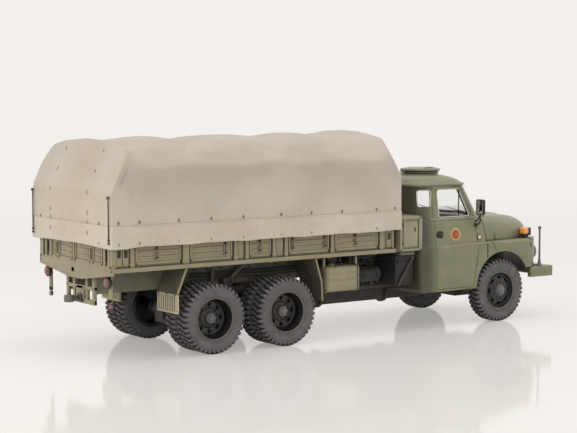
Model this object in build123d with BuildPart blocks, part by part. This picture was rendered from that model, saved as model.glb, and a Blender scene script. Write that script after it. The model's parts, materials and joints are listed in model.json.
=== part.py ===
from build123d import *
import math
import os

os.makedirs("parts", exist_ok=True)

# Six-wheel-drive cargo truck, a display model at about 1:43, in millimetres.
# +X is forward, +Y is left, +Z is up, and the tyres stand on Z 0.

# Wheels and axles
tyre_r = 12.5
tyre_w = 6.3
bead_r = 7.4
lug_count = 16
lug_h = 0.9
lug_share = 0.56
lug_taper = 0.84
dual_gap = 1.5
rear_face_y = 29.1
front_face_y = 26.5
rear_axle_x = -60.6
bogie_gap = 30.95
wheelbase = 137.0
pin_r = 1.0
pin_play = 0.06
hub_play = 0.5
rim_wall = 0.8
rim_inset = 0.5
disc_t = 1.0
rear_dish_depth = 4.4
front_dish_depth = 0.6
rear_hub_r = 2.3
front_hub_r = 2.7
rear_hub_reach = 1.9
front_hub_reach = 1.5
pin_end_inset = 0.6
hand_hole_r = 0.95
hand_hole_count = 8
hand_hole_ring_r = 4.9

axle_z = tyre_r
mid_axle_x = rear_axle_x + bogie_gap
front_axle_x = rear_axle_x + wheelbase
bogie_mid_x = (rear_axle_x + mid_axle_x) / 2

# Chassis
rail_inner_y = 7.0
rail_t = 3.0
rail_bottom_z = 22.0
rail_top_z = 29.4
rail_setback = 3.2
rail_front_x = 96.0
cross_t = 3.0
tube_half_w = 3.0
tube_bottom_z = 9.5
tube_top_z = 15.5
tube_overhang = 6.0
gear_case_half_x = 5.0
gear_case_half_y = 4.6
gear_case_half_z = 4.2
gear_case_round = 1.2
half_axle_r = 2.4
pillar_half_x = 2.5
spring_in_gap = 0.6
spring_w = 2.6
spring_leaf_t = 0.9
spring_leaves = 4
bogie_spring_z = 17.6
front_spring_z = 18.2
front_spring_half = 14.0
gearbox_x0 = 10.0
gearbox_x1 = 33.0
gearbox_half_y = 6.0
gearbox_top_z = 26.5
gearbox_round = 1.5

rail_outer_y = rail_inner_y + rail_t

# Load bed
bed_rear_x = -100.6
bed_front_x = 22.0
bed_half_w = 27.1
sill_bottom_z = 30.9
floor_top_z = 32.5
board_t = 1.2
board_inset = 0.7
board_top_z = 46.0
post_w = 2.2
post_cap_t = 0.4
end_post_cap_t = 0.2
board_groove = 0.35
groove_depth = 0.25
board_lines_z = (36.2, 39.4, 42.6)
sill_plate_t = 1.0
sill_plate_apex_z = 27.0
sill_plate_edge_z = 30.2
sill_plate_apex_half = 4.0
side_posts_x = (-94.2, -71.8, -51.4, -35.2, -10.4, 11.0)
end_posts_y = (-20.0, -9.0, 9.0, 20.0)

board_outer_y = bed_half_w - board_inset
board_inner_y = board_outer_y - board_t
rail_rear_x = bed_rear_x + rail_setback
board_rear_x = bed_rear_x + board_inset
board_front_x = bed_front_x - board_inset

# Tilt cover
tilt_rear_overhang = 1.4
tilt_front_overhang = 0.8
tilt_overhang = 2.8
tilt_lap = 6.2
tilt_kink_z = 58.5
tilt_eave_z = 70.6
tilt_crest_z = 76.2
tilt_shoulder_r = 8.0
tilt_wall = 1.2
tilt_valley_drop = 1.3
tilt_rear_lean = 8.4
tilt_front_lean = 9.0
tilt_rear_bay_in = 8.0
tilt_front_bay_in = 7.8
tilt_rear_drop_share = 0.2
tilt_ledge_t = 1.0
tilt_ledge_lap = 1.0
lacing_rod_r = 0.45
lacing_rod_knob_r = 0.75
lacing_rod_inset = 1.7
lacing_rod_bottom_z = 41.0
lacing_rod_top_z = 56.6
lacing_rod_gap = 0.1

tilt_rear_x = bed_rear_x - tilt_rear_overhang
tilt_front_x = bed_front_x + tilt_front_overhang
tilt_half_w = bed_half_w + tilt_overhang
tilt_hem_z = board_top_z - tilt_lap
tilt_roof_rear_x = tilt_rear_x + tilt_rear_bay_in
tilt_roof_front_x = tilt_front_x - tilt_front_bay_in
lacing_rod_y = tilt_half_w - lacing_rod_inset

# Mudguards, tanks and lockers
guard_t = 0.8
guard_inner_y = 13.6
front_guard_top_ahead = 14.15
front_guard_kink_ahead = 16.85
front_guard_foot_ahead = 17.15
guard_kink_z = 22.3
guard_foot_z = 15.2
rear_flap_top_behind = 11.0
rear_flap_kink_behind = 14.6
rear_flap_rib_t = 0.4
rear_flap_rib_gap = 1.1
rear_flap_ribs = 6
tank_gap = 1.6
tank_l = 15.5
tank_inset = 0.2
tank_inner_y = 13.0
tank_bottom_z = 17.8
tank_top_z = 27.3
tank_round = 1.8
tank_strap_w = 1.0
tank_strap_t = 0.5
air_tank_r = 3.0
air_tank_gap = 3.9
air_tank_l = 12.0
air_tank_y = 18.5
air_tank_z = 22.6
air_tank_round = 1.0
air_tank_hanger_w = 1.2
battery_inset = 0.5
battery_outer_y = 24.0
battery_bottom_z = 17.5
locker_bed_gap = 2.0
locker_cab_gap = 0.6
locker_tuck = 0.2
locker_inner_y = 15.0
locker_top_z = 44.5
locker_door_inset = 1.3
locker_door_proud = 0.4
outrigger_t = 1.5

guard_outer_y = bed_half_w
front_guard_top_x = mid_axle_x + front_guard_top_ahead
front_guard_kink_x = mid_axle_x + front_guard_kink_ahead
front_guard_foot_x = mid_axle_x + front_guard_foot_ahead
rear_flap_top_x = rear_axle_x - rear_flap_top_behind
rear_flap_kink_x = rear_axle_x - rear_flap_kink_behind
tank_x0 = front_guard_foot_x + tank_gap
tank_x1 = tank_x0 + tank_l
tank_outer_y = bed_half_w - tank_inset
air_tank_x0 = tank_x1 + air_tank_gap
air_tank_x1 = air_tank_x0 + air_tank_l

# Cab
cab_rear_x = 34.6
cab_front_x = 69.0
cab_wall = 1.2
cab_rear_corner_r = 8.5
cab_bottom_z = 14.2
cab_half_w = 27.2
cab_sill_tuck = 0.6
shelf_inset = 0.9
belt_inset = 1.4
glass_low_inset = 2.3
glass_top_inset = 4.3
crease_bottom_z = 31.0
crease_top_z = 33.0
belt_low_z = 40.8
belt_z = 42.2
screen_base_x = 66.6
gutter_z = 55.4
screen_top_x = 59.4
rear_glass_top_x = 35.6
roof_overhang = 0.8
roof_rear_x = 34.4
roof_brow = 1.2
roof_edge_z = 56.4
roof_shoulder_z = 58.5
roof_crest_z = 59.6
roof_shoulder_in = 3.4
roof_crest_in = 9.0
body_front_r = 1.0
screen_corner_r = 4.0
cab_tunnel_half_w = 14.0
roof_front_r = 6.0
roof_crest_r = 3.5
sill_rise = 1.6
arch_ahead = 0.8
arch_z = 14.2
arch_r = 14.2
door_rear_x = 42.4
door_bottom_z = 15.2
door_foot_x = 61.2
door_hip_x = 64.0
door_hip_z = 31.0
door_belt_in = 3.7
door_top_z = 54.6
door_top_in = 2.0
door_seam = 0.2
pillar_w = 1.6
window_sill_z = 43.0
window_head_z = 53.8
screen_inset = 5.3
screen_sill_z = 43.6
screen_head_z = 54.2
screen_post_w = 1.0
corner_window_angle = 24.0
corner_window_w = 5.6
corner_window_sill_z = 47.3
corner_cut_reach = 4.2
back_window_half_w = 9.0
back_window_sill_z = 46.0
glass_t = 0.5
glass_inset = 0.35
cab_floor_t = 1.2
floor_clearance = 0.05
seat_w = 13.0
seat_depth = 11.0
seat_cushion_h = 5.0
seat_back_h = 15.0
seat_back_t = 3.0
seat_rear_x = 37.6
seat_y = 11.0
seat_round = 1.2
dash_depth = 5.0
dash_h = 5.0
dash_clearance = 0.3
dash_round = 0.9
wheel_ring_r = 4.4
wheel_tube_r = 0.4
wheel_boss_r = 1.2
wheel_boss_t = 0.8
wheel_spokes = 3
wheel_x = 57.6
wheel_z = 41.5
wheel_tilt = 50.0
hatch_x = 49.7
hatch_y = -8.0
hatch_stem_r = 6.6
hatch_lid_r = 7.9
hatch_lid_rise = 1.0
hatch_lid_t = 1.4
hatch_play = 0.05
hatch_seat_depth = 2.2

cab_sill_half_w = cab_half_w - cab_sill_tuck
shelf_half_w = cab_half_w - shelf_inset
belt_half_w = cab_half_w - belt_inset
glass_low_half_w = cab_half_w - glass_low_inset
glass_top_half_w = cab_half_w - glass_top_inset
roof_half_w = glass_top_half_w + roof_overhang
roof_front_x = screen_top_x + roof_brow
screen_half_w = glass_low_half_w - screen_inset
door_belt_x = screen_base_x - door_belt_in
door_top_x = screen_top_x - door_top_in
arch_x = front_axle_x + arch_ahead
locker_outer_y = cab_half_w - locker_tuck
locker_x0 = bed_front_x + locker_bed_gap
locker_x1 = cab_rear_x - locker_cab_gap
battery_x0 = locker_x0 + battery_inset
battery_x1 = locker_x1 - battery_inset
hatch_lid_bottom_z = roof_crest_z + hatch_lid_rise
hatch_lid_top_z = hatch_lid_bottom_z + hatch_lid_t
hatch_seat_z = roof_crest_z - hatch_seat_depth

# Bonnet, fenders and front end
bonnet_bottom_z = 32.4
fender_rail_gap = 4.6
fender_front_x = 98.6
fender_nose_r = 8.5
fender_bottom_z = 21.0
fender_top_round = 1.6
grille_t = 1.2
grille_bottom_z = 21.6
grille_bars = 7
grille_slot_h = 0.75
headlamp_r = 3.3
headlamp_offset = 0.7
headlamp_z = 26.6
headlamp_depth = 3.0
headlamp_proud = 0.7
headlamp_play = 0.1
indicator_setback = 5.2
indicator_foot_w = 2.0
indicator_inset = 5.2
indicator_l = 3.8
indicator_w = 3.0
indicator_bottom_z = 33.6
indicator_top_z = 36.6
indicator_round = 0.6
bumper_front_x = 104.7
bumper_bar_t = 3.2
bumper_bottom_z = 16.7
bumper_top_z = 20.9
bumper_wing_rear_x = 92.4
bumper_wing_t = 2.2
bumper_round = 0.6
pole_x = 98.0
pole_r = 0.55
pole_base_r = 1.05
pole_base_h = 2.0
pole_top_z = 36.4
pole_knob_r = 0.85
mirror_x = 63.2
mirror_reach = 1.4
mirror_w = 4.4
mirror_h = 6.4
mirror_t = 1.4
mirror_bottom_z = 43.3
mirror_round = 0.6
mirror_arm_r = 0.4
mirror_foot_z = 39.3
mirror_foot_r = 1.0
repeater_x = 64.8
repeater_z = 34.5
repeater_r = 1.0
repeater_proud = 0.7
handle_x = 44.4
handle_z = 36.2
handle_l = 2.6
handle_h = 0.8
handle_proud = 0.7
trim_gap = 0.05

fender_outer_y = cab_half_w
fender_inner_y = rail_outer_y + fender_rail_gap
headlamp_y = (fender_inner_y + fender_outer_y) / 2 - headlamp_offset
indicator_y = fender_outer_y - indicator_inset
bumper_half_w = fender_outer_y
mirror_y = cab_half_w + mirror_reach
indicator_x = fender_front_x - indicator_setback

# Rear end
tow_plate_t = 1.2
tow_plate_half_w = 10.4
tow_plate_bottom_z = 18.2
tow_window_w = 5.0
tow_window_h = 5.0
tow_bar_reach = 7.3
tow_bar_half_w = 1.8
tow_bar_half_h = 1.3
tow_bar_z = 20.0
tow_pin_r = 0.8
tow_eye_inset = 2.2
lamp_board_setback = 2.0
lamp_board_inset = 4.9
lamp_board_w = 1.8
lamp_board_t = 0.9
lamp_board_bottom_z = 18.2
reflector_h = 2.0
tail_lamp_r = 2.0
tail_lamp_t = 1.8
tail_lamp_round = 0.6
tail_lamp_z = 27.4
base_screw_r = 1.25
base_screw_depth = 4.0
base_screw_span = 60.0
base_screw_mid_x = 24.0

tow_plate_x = rail_rear_x
tow_bar_tip_x = tow_plate_x - tow_bar_reach
lamp_board_x = bed_rear_x + lamp_board_setback
lamp_board_y = bed_half_w - lamp_board_inset


def side(y):
    """Vertical plane along the truck at Y = y, with X to the right and Z up."""
    return Plane.XZ.offset(-y)


def across(x):
    """Vertical plane across the truck at X = x, with Y to the right and Z up."""
    return Plane.YZ.offset(x)


def level(z):
    """Level plane at Z = z."""
    return Plane.XY.offset(z)


def block(x0, x1, y0, y1, z0, z1, mode=Mode.ADD):
    """A box between the given faces, in either order, worked into the piece in hand."""
    with Locations(((x0 + x1) / 2, (y0 + y1) / 2, (z0 + z1) / 2)):
        Box(abs(x1 - x0), abs(y1 - y0), abs(z1 - z0), mode=mode)


def cross_rod(x, y0, y1, z, r, mode=Mode.ADD):
    """A round bar along Y between y0 and y1."""
    with BuildSketch(side(y0)) as section:
        with Locations((x, z)):
            Circle(r)
    extrude(section.sketch, amount=y0 - y1, mode=mode)


def long_rod(x0, x1, y, z, r, mode=Mode.ADD):
    """A round bar along X between x0 and x1."""
    with BuildSketch(across(x0)) as section:
        with Locations((y, z)):
            Circle(r)
    extrude(section.sketch, amount=x1 - x0, mode=mode)


def upright(x, y, z0, z1, r, mode=Mode.ADD):
    """A round bar along Z between z0 and z1."""
    with BuildSketch(level(z0)) as section:
        with Locations((x, y)):
            Circle(r)
    extrude(section.sketch, amount=z1 - z0, mode=mode)


def wheel_inner_y(face_y, twin):
    """Inner face of the innermost tyre of a wheel whose outer face is at Y = face_y."""
    return face_y - tyre_w - (tyre_w + dual_gap if twin else 0)


def turn_about_axle(x):
    """Turn the section in hand, drawn across the truck at X = x, about the axle there."""
    revolve(axis=Axis((x, 0, axle_z), (0, 1, 0)))


def lug_ring(x):
    """Corners of a lugged tread, seen from the side, about the axle at X = x."""
    lug_pitch = 2 * math.pi / lug_count
    foot = lug_share * lug_pitch / 2
    tip = lug_taper * foot
    root_r = tyre_r - lug_h
    # One corner of the first lug stands on the ground
    first_lug = tip - math.pi / 2
    ring_points = []
    for lug in range(lug_count):
        # Columns: radius, angle from the middle of the lug
        for r, away in ((root_r, -foot), (tyre_r, -tip), (tyre_r, tip), (root_r, foot)):
            angle = first_lug + lug * lug_pitch + away
            ring_points.append((x + r * math.cos(angle), axle_z + r * math.sin(angle)))
    return ring_points


# Lugged tyres, rims and pins, one set for each axle
# Columns: axle name, axle place, outer face of the outermost tyre, whether the wheels are twins
axle_table = (
    ("front", front_axle_x, front_face_y, False),
    ("mid", mid_axle_x, rear_face_y, True),
    ("rear", rear_axle_x, rear_face_y, True),
)
wheel_pieces = {}

for axle_name, axle_x, face_y, twin in axle_table:
    hub_inner_y = wheel_inner_y(face_y, twin) - rim_inset
    rim_edge_y = face_y - rim_inset
    disc_y = rim_edge_y - (rear_dish_depth if twin else front_dish_depth)
    hub_r = rear_hub_r if twin else front_hub_r
    hub_end_y = disc_y + (rear_hub_reach if twin else front_hub_reach)

    with BuildPart() as tyres:
        for nth in range(2 if twin else 1):
            with BuildSketch(side(face_y - nth * (tyre_w + dual_gap))):
                with BuildLine():
                    Polyline(*lug_ring(axle_x), close=True)
                make_face()
                with Locations((axle_x, axle_z)):
                    Circle(bead_r, mode=Mode.SUBTRACT)
            extrude(amount=tyre_w)
        mirror(about=Plane.XZ)

    with BuildPart() as rims:
        with BuildSketch(across(axle_x)) as rim_section:
            with Locations(((hub_inner_y + rim_edge_y) / 2, axle_z + bead_r - rim_wall / 2)):
                Rectangle(rim_edge_y - hub_inner_y, rim_wall)
            with Locations((disc_y - disc_t / 2, axle_z + bead_r / 2)):
                Rectangle(disc_t, bead_r - rim_wall / 2)
            with Locations(((hub_inner_y + hub_end_y) / 2, axle_z + hub_r / 2)):
                Rectangle(hub_end_y - hub_inner_y, hub_r)
            with Locations((face_y / 2, axle_z + pin_r / 2)):
                Rectangle(2 * face_y, pin_r, mode=Mode.SUBTRACT)
        turn_about_axle(axle_x)
        with BuildSketch(side(disc_y)):
            with Locations((axle_x, axle_z)):
                with PolarLocations(hand_hole_ring_r, hand_hole_count):
                    Circle(hand_hole_r)
        extrude(amount=disc_t, both=True, mode=Mode.SUBTRACT)
        mirror(about=Plane.XZ)

    with BuildPart() as pin:
        pin_half = hub_end_y - pin_end_inset
        cross_rod(axle_x, -pin_half, pin_half, axle_z, pin_r)

    wheel_pieces[f"{axle_name}_tyres"] = tyres
    wheel_pieces[f"{axle_name}_rims"] = rims
    wheel_pieces[f"{axle_name}_axle_pin"] = pin

# Central tube with a gear case on each axle
with BuildPart() as backbone_tube:
    block(rear_axle_x - tube_overhang, front_axle_x + tube_overhang,
          -tube_half_w, tube_half_w, tube_bottom_z, tube_top_z)
    fillet(backbone_tube.edges().filter_by(Axis.X), gear_case_round)
    for axle_name, axle_x, face_y, twin in axle_table:
        block(axle_x - gear_case_half_x, axle_x + gear_case_half_x,
              -gear_case_half_y, gear_case_half_y,
              axle_z - gear_case_half_z, tube_top_z)
        cross_rod(axle_x, -gear_case_half_y, gear_case_half_y, axle_z, pin_r + pin_play, Mode.SUBTRACT)
    for hand in (-1, 1):
        upright(base_screw_mid_x + hand * base_screw_span / 2, 0, tube_bottom_z,
                tube_bottom_z + base_screw_depth, base_screw_r, Mode.SUBTRACT)

# Half axles, which carry the pins on both sides of the gear cases
with BuildPart() as half_axles:
    for axle_name, axle_x, face_y, twin in axle_table:
        hub_inner_y = wheel_inner_y(face_y, twin) - rim_inset
        cross_rod(axle_x, gear_case_half_y, hub_inner_y - hub_play, axle_z, half_axle_r)
        cross_rod(axle_x, gear_case_half_y, hub_inner_y, axle_z, pin_r + pin_play, Mode.SUBTRACT)
    mirror(about=Plane.XZ)

# Frame rails with cross members and the pillars down to the central tube
cross_members_x = (rear_axle_x, mid_axle_x, gearbox_x0 - cross_t, gearbox_x1 + cross_t, front_axle_x)
horn_x0 = rail_front_x - cross_t
with BuildPart() as chassis_frame:
    for hand in (-1, 1):
        block(rail_rear_x, rail_front_x, hand * rail_inner_y, hand * rail_outer_y,
              rail_bottom_z, rail_top_z)
        block(horn_x0, rail_front_x, hand * rail_inner_y, hand * rail_outer_y,
              bumper_bottom_z, rail_bottom_z)
        block(horn_x0, bumper_front_x - bumper_bar_t, hand * rail_inner_y, hand * rail_outer_y,
              bumper_bottom_z, bumper_top_z)
    for cross_x in cross_members_x:
        block(cross_x - cross_t / 2, cross_x + cross_t / 2, -rail_outer_y, rail_outer_y,
              rail_bottom_z, rail_top_z - cross_t / 2)
        block(cross_x - pillar_half_x, cross_x + pillar_half_x, -tube_half_w + gear_case_round,
              tube_half_w - gear_case_round, tube_top_z, rail_bottom_z + rail_t)
    block(locker_x0 + outrigger_t, locker_x1 - outrigger_t, -locker_outer_y + outrigger_t,
          locker_outer_y - outrigger_t, rail_top_z, sill_bottom_z)

# Leaf springs beside the rails
with BuildPart() as springs:
    spring_y0 = rail_outer_y + spring_in_gap
    # Columns: middle of the spring, half its longest leaf, underside of its stack
    for spring_x, spring_half, spring_z in (
        (bogie_mid_x, bogie_gap / 2 - gear_case_half_x, bogie_spring_z),
        (front_axle_x, front_spring_half, front_spring_z),
    ):
        for leaf in range(spring_leaves):
            leaf_half = spring_half * (leaf + 1) / spring_leaves
            block(spring_x - leaf_half, spring_x + leaf_half, spring_y0, spring_y0 + spring_w,
                  spring_z + leaf * spring_leaf_t, spring_z + (leaf + 1) * spring_leaf_t)
        stack_top_z = spring_z + spring_leaves * spring_leaf_t
        block(spring_x - pillar_half_x, spring_x + pillar_half_x, rail_outer_y, spring_y0 + spring_w,
              stack_top_z, rail_bottom_z + spring_w)
    mirror(about=Plane.XZ)

# Gearbox on the central tube
with BuildPart() as gearbox:
    block(gearbox_x0, gearbox_x1, -gearbox_half_y, gearbox_half_y, tube_top_z, gearbox_top_z)
    fillet(gearbox.edges().filter_by(Axis.X).group_by(Axis.Z)[-1], gearbox_round)

# Bed floor on its two bearers
with BuildPart() as bed_floor:
    block(bed_rear_x, bed_front_x, -bed_half_w, bed_half_w, sill_bottom_z, floor_top_z)
    for hand in (-1, 1):
        block(rail_rear_x, bed_front_x, hand * rail_inner_y, hand * rail_outer_y,
              rail_top_z, sill_bottom_z)

# Side boards with their posts and board lines, one node for each side
side_boards = {}
for side_name, hand in (("left", 1), ("right", -1)):
    with BuildPart() as boards:
        block(board_rear_x, board_front_x, hand * board_inner_y, hand * board_outer_y,
              floor_top_z, board_top_z)
        for line_z in board_lines_z:
            block(board_rear_x, board_front_x, hand * (board_outer_y - groove_depth), hand * bed_half_w,
                  line_z - board_groove / 2, line_z + board_groove / 2, Mode.SUBTRACT)
        for post_x in side_posts_x:
            block(post_x - post_w / 2, post_x + post_w / 2, hand * (board_outer_y - groove_depth),
                  hand * (board_outer_y + post_cap_t), floor_top_z, board_top_z)
    side_boards[f"{side_name}_side_boards"] = boards

# End boards between the side boards
end_boards = {}
# Columns: node name, inner face, outer face
for end_name, inner_x, outer_x in (
    ("headboard", board_front_x - board_t, board_front_x),
    ("tailboard", board_rear_x + board_t, board_rear_x),
):
    toward = 1 if outer_x > inner_x else -1
    with BuildPart() as boards:
        block(inner_x, outer_x, -board_inner_y, board_inner_y, floor_top_z, board_top_z)
        for line_z in board_lines_z:
            block(outer_x - toward * groove_depth, outer_x + toward * board_inset,
                  -board_inner_y, board_inner_y,
                  line_z - board_groove / 2, line_z + board_groove / 2, Mode.SUBTRACT)
        for post_y in end_posts_y:
            block(outer_x - toward * groove_depth, outer_x + toward * end_post_cap_t,
                  post_y - post_w / 2, post_y + post_w / 2, floor_top_z, board_top_z)
    end_boards[end_name] = boards

# Plate with a shallow V under the tailboard
with BuildPart() as rear_sill_plate:
    with BuildSketch(across(bed_rear_x)):
        with BuildLine():
            Polyline(
                (-bed_half_w, sill_bottom_z),
                (bed_half_w, sill_bottom_z),
                (bed_half_w, sill_plate_edge_z),
                (sill_plate_apex_half, sill_plate_apex_z),
                (-sill_plate_apex_half, sill_plate_apex_z),
                (-bed_half_w, sill_plate_edge_z),
                close=True,
            )
        make_face()
    extrude(amount=sill_plate_t)


def tilt_arch(x, half_w, hem_z, eave_z, crest_z):
    """Section of the tilt at X = x: upright sides, round shoulders and a low arched roof."""
    with BuildSketch(across(x)) as arch_section:
        with BuildLine():
            Polyline((half_w, eave_z), (half_w, hem_z), (-half_w, hem_z), (-half_w, eave_z))
            ThreePointArc((-half_w, eave_z), (0, crest_z), (half_w, eave_z))
        make_face()
        fillet(arch_section.vertices().group_by(Axis.Y)[-1], tilt_shoulder_r)
    return arch_section.sketch


def tilt_profile(inset):
    """Side view of the tilt, with upright ends below and leaning ends above."""
    with BuildSketch(side(0)) as profile:
        with BuildLine():
            Polyline(
                (tilt_rear_x + inset, tilt_hem_z - inset),
                (tilt_rear_x + inset, tilt_kink_z),
                (tilt_rear_x + tilt_rear_lean + inset, tilt_crest_z),
                (tilt_front_x - tilt_front_lean - inset, tilt_crest_z),
                (tilt_front_x - inset, tilt_kink_z),
                (tilt_front_x - inset, tilt_hem_z - inset),
                close=True,
            )
        make_face()
    return profile.sketch


# Hollow of the tilt cover
with BuildPart() as tilt_hollow:
    hollow_drop = tilt_valley_drop + tilt_wall
    extrude(tilt_arch(tilt_rear_x, tilt_half_w - tilt_wall, tilt_hem_z - tilt_wall,
                      tilt_eave_z - hollow_drop, tilt_crest_z - hollow_drop),
            amount=tilt_front_x - tilt_rear_x)
    extrude(tilt_profile(tilt_wall), amount=tilt_half_w, both=True, mode=Mode.INTERSECT)

# Tilt cover: a moulded shell with one swelling for each bay between the hoops
# Columns: share of the roof's length, fullness of the bay
tilt_bays = ((0.233, 1.0), (0.251, 1.0), (0.083, 0.3), (0.231, 1.0), (0.202, 1.0))
# Columns: place along a bay, share of the valley's drop left there
bay_shape = ((0.12, 0.45), (0.32, 0.08), (0.68, 0.08), (0.88, 0.45), (1.0, 1.0))
tilt_stations = [(tilt_rear_x, tilt_rear_drop_share)]
bay_x = tilt_roof_rear_x
for bay_share, fullness in tilt_bays:
    bay_l = bay_share * (tilt_roof_front_x - tilt_roof_rear_x)
    for along, share in bay_shape:
        tilt_stations.append((bay_x + along * bay_l, 1 - fullness * (1 - share)))
    bay_x += bay_l
tilt_stations.append((tilt_front_x, 1.0))
with BuildPart() as tilt_cover:
    loft([tilt_arch(station_x, tilt_half_w, tilt_hem_z, tilt_eave_z - share * tilt_valley_drop,
                    tilt_crest_z - share * tilt_valley_drop) for station_x, share in tilt_stations],
         ruled=True)
    extrude(tilt_profile(0), amount=tilt_half_w, both=True, mode=Mode.INTERSECT)
    add(tilt_hollow.part, mode=Mode.SUBTRACT)
    for hand in (-1, 1):
        block(board_rear_x, board_front_x, hand * (board_outer_y - tilt_ledge_lap),
              hand * (tilt_half_w - tilt_wall / 2), board_top_z, board_top_z + tilt_ledge_t)

# Lacing rods down the corners of the tilt's rear panel
with BuildPart() as lacing_rods:
    rod_x = tilt_rear_x - lacing_rod_gap - lacing_rod_knob_r
    for hand in (-1, 1):
        upright(rod_x, hand * lacing_rod_y, lacing_rod_bottom_z, lacing_rod_top_z, lacing_rod_r)
        with Locations((rod_x, hand * lacing_rod_y, lacing_rod_top_z)):
            Sphere(lacing_rod_knob_r)

# Guards ahead of the bogie
with BuildPart() as front_mudguards:
    with BuildSketch(side(guard_inner_y)):
        with BuildLine():
            Polyline(
                (front_guard_top_x, sill_bottom_z),
                (front_guard_kink_x, guard_kink_z),
                (front_guard_foot_x, guard_foot_z),
                (front_guard_foot_x - guard_t, guard_foot_z),
                (front_guard_kink_x - guard_t, guard_kink_z),
                (front_guard_top_x - guard_t, sill_bottom_z),
                close=True,
            )
        make_face()
    extrude(amount=guard_inner_y - guard_outer_y)
    mirror(about=Plane.XZ)

# Flaps behind the bogie, ribbed on the lower half
with BuildPart() as rear_mudflaps:
    with BuildSketch(side(guard_inner_y)):
        with BuildLine():
            Polyline(
                (rear_flap_top_x, sill_bottom_z),
                (rear_flap_kink_x, guard_kink_z),
                (rear_flap_kink_x, guard_foot_z),
                (rear_flap_kink_x + guard_t, guard_foot_z),
                (rear_flap_kink_x + guard_t, guard_kink_z),
                (rear_flap_top_x + guard_t, sill_bottom_z),
                close=True,
            )
        make_face()
    extrude(amount=guard_inner_y - guard_outer_y)
    rib_step = (guard_outer_y - guard_inner_y) / rear_flap_ribs
    for rib in range(rear_flap_ribs):
        rib_y = guard_inner_y + rib * rib_step
        block(rear_flap_kink_x - rear_flap_rib_t, rear_flap_kink_x + guard_t / 2,
              rib_y + rear_flap_rib_gap / 2, rib_y + rib_step - rear_flap_rib_gap / 2,
              guard_foot_z, guard_kink_z - guard_t)
    mirror(about=Plane.XZ)

# Fuel tanks with their hanger straps up to the bed
with BuildPart() as fuel_tanks:
    block(tank_x0, tank_x1, tank_inner_y, tank_outer_y, tank_bottom_z, tank_top_z)
    fillet(fuel_tanks.edges().filter_by(Axis.X), tank_round)
    for strap_x in (tank_x0 + tank_strap_w, tank_x1 - tank_strap_w):
        block(strap_x - tank_strap_w / 2, strap_x + tank_strap_w / 2, tank_inner_y + tank_round,
              tank_outer_y - tank_round, tank_top_z - tank_strap_t, sill_bottom_z)
    mirror(about=Plane.XZ)

# Air tanks hung from the rails
with BuildPart() as air_tanks:
    long_rod(air_tank_x0, air_tank_x1, air_tank_y, air_tank_z, air_tank_r)
    fillet(air_tanks.edges(), air_tank_round)
    for hanger_x in (air_tank_x0 + air_tank_r, air_tank_x1 - air_tank_r):
        block(hanger_x - air_tank_hanger_w / 2, hanger_x + air_tank_hanger_w / 2,
              rail_outer_y, air_tank_y, rail_bottom_z + air_tank_hanger_w, air_tank_z + air_tank_r)
    mirror(about=Plane.XZ)

# Battery boxes under the lockers
with BuildPart() as battery_boxes:
    block(battery_x0, battery_x1, rail_outer_y, battery_outer_y, battery_bottom_z, rail_top_z)
    fillet(battery_boxes.edges().filter_by(Axis.X).group_by(Axis.Z)[0], gear_case_round)
    mirror(about=Plane.XZ)

# Lockers behind the cab, each with a raised door
with BuildPart() as storage_lockers:
    block(locker_x0, locker_x1, locker_inner_y, locker_outer_y - locker_door_proud,
          sill_bottom_z, locker_top_z)
    block(locker_x0 + locker_door_inset, locker_x1 - locker_door_inset, locker_inner_y,
          locker_outer_y, sill_bottom_z + locker_door_inset, locker_top_z - locker_door_inset)
    mirror(about=Plane.XZ)

# Cab body in level sections, from the sill to the gutter
# Columns: height, half width, rear face, front face, rear corner radius, front corner radius
rear_r = cab_rear_corner_r
cab_sections = (
    (cab_bottom_z, cab_sill_half_w, cab_rear_x, cab_front_x, rear_r, body_front_r),
    (cab_bottom_z + sill_rise, cab_half_w, cab_rear_x, cab_front_x, rear_r, body_front_r),
    (crease_bottom_z, cab_half_w, cab_rear_x, cab_front_x, rear_r, body_front_r),
    (crease_top_z, shelf_half_w, cab_rear_x, cab_front_x, rear_r, body_front_r),
    (belt_low_z, belt_half_w, cab_rear_x, cab_front_x, rear_r, body_front_r),
    (belt_z, glass_low_half_w, cab_rear_x, screen_base_x, rear_r, screen_corner_r),
    (gutter_z, glass_top_half_w, rear_glass_top_x, screen_top_x, rear_r, screen_corner_r),
)
# Roof in level sections above the gutter, with the same columns
roof_sections = (
    (gutter_z, roof_half_w, roof_rear_x, roof_front_x, rear_r, roof_front_r),
    (roof_edge_z, roof_half_w, roof_rear_x, roof_front_x, rear_r, roof_front_r),
    (roof_shoulder_z, roof_half_w - roof_shoulder_in, roof_rear_x + roof_shoulder_in,
     roof_front_x - roof_shoulder_in, rear_r, roof_front_r),
    (roof_crest_z, roof_half_w - roof_crest_in, roof_rear_x + roof_crest_in,
     roof_front_x - roof_crest_in, roof_crest_r, roof_crest_r),
)


def body_loft(sections, inset, drop, mode=Mode.ADD):
    """Loft through level sections, each drawn in by inset and let down by drop."""
    plans = []
    for z, half_w, rear_x, front_x, rear_r, front_r in sections:
        with BuildSketch(level(z - drop)) as plan:
            with Locations(((rear_x + front_x) / 2, 0)):
                Rectangle(front_x - rear_x - 2 * inset, 2 * (half_w - inset))
            fillet(plan.vertices().group_by(Axis.X)[0], rear_r - inset)
            fillet(plan.vertices().group_by(Axis.X)[-1], max(front_r - inset, body_front_r / 2))
        plans.append(plan.sketch)
    loft(plans, ruled=True, mode=mode)


def door_outline(y, gap):
    """Side view of a door on the plane at Y = y, smaller by gap all round."""
    with BuildSketch(side(y)) as outline:
        with BuildLine():
            Polyline(
                (door_rear_x + gap, door_bottom_z + gap),
                (door_foot_x - gap, door_bottom_z + gap),
                (door_hip_x - gap, door_hip_z),
                (door_belt_x - gap, belt_z),
                (door_top_x - gap, door_top_z - gap),
                (door_rear_x + gap, door_top_z - gap),
                close=True,
            )
        make_face()
    return outline.sketch


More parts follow.
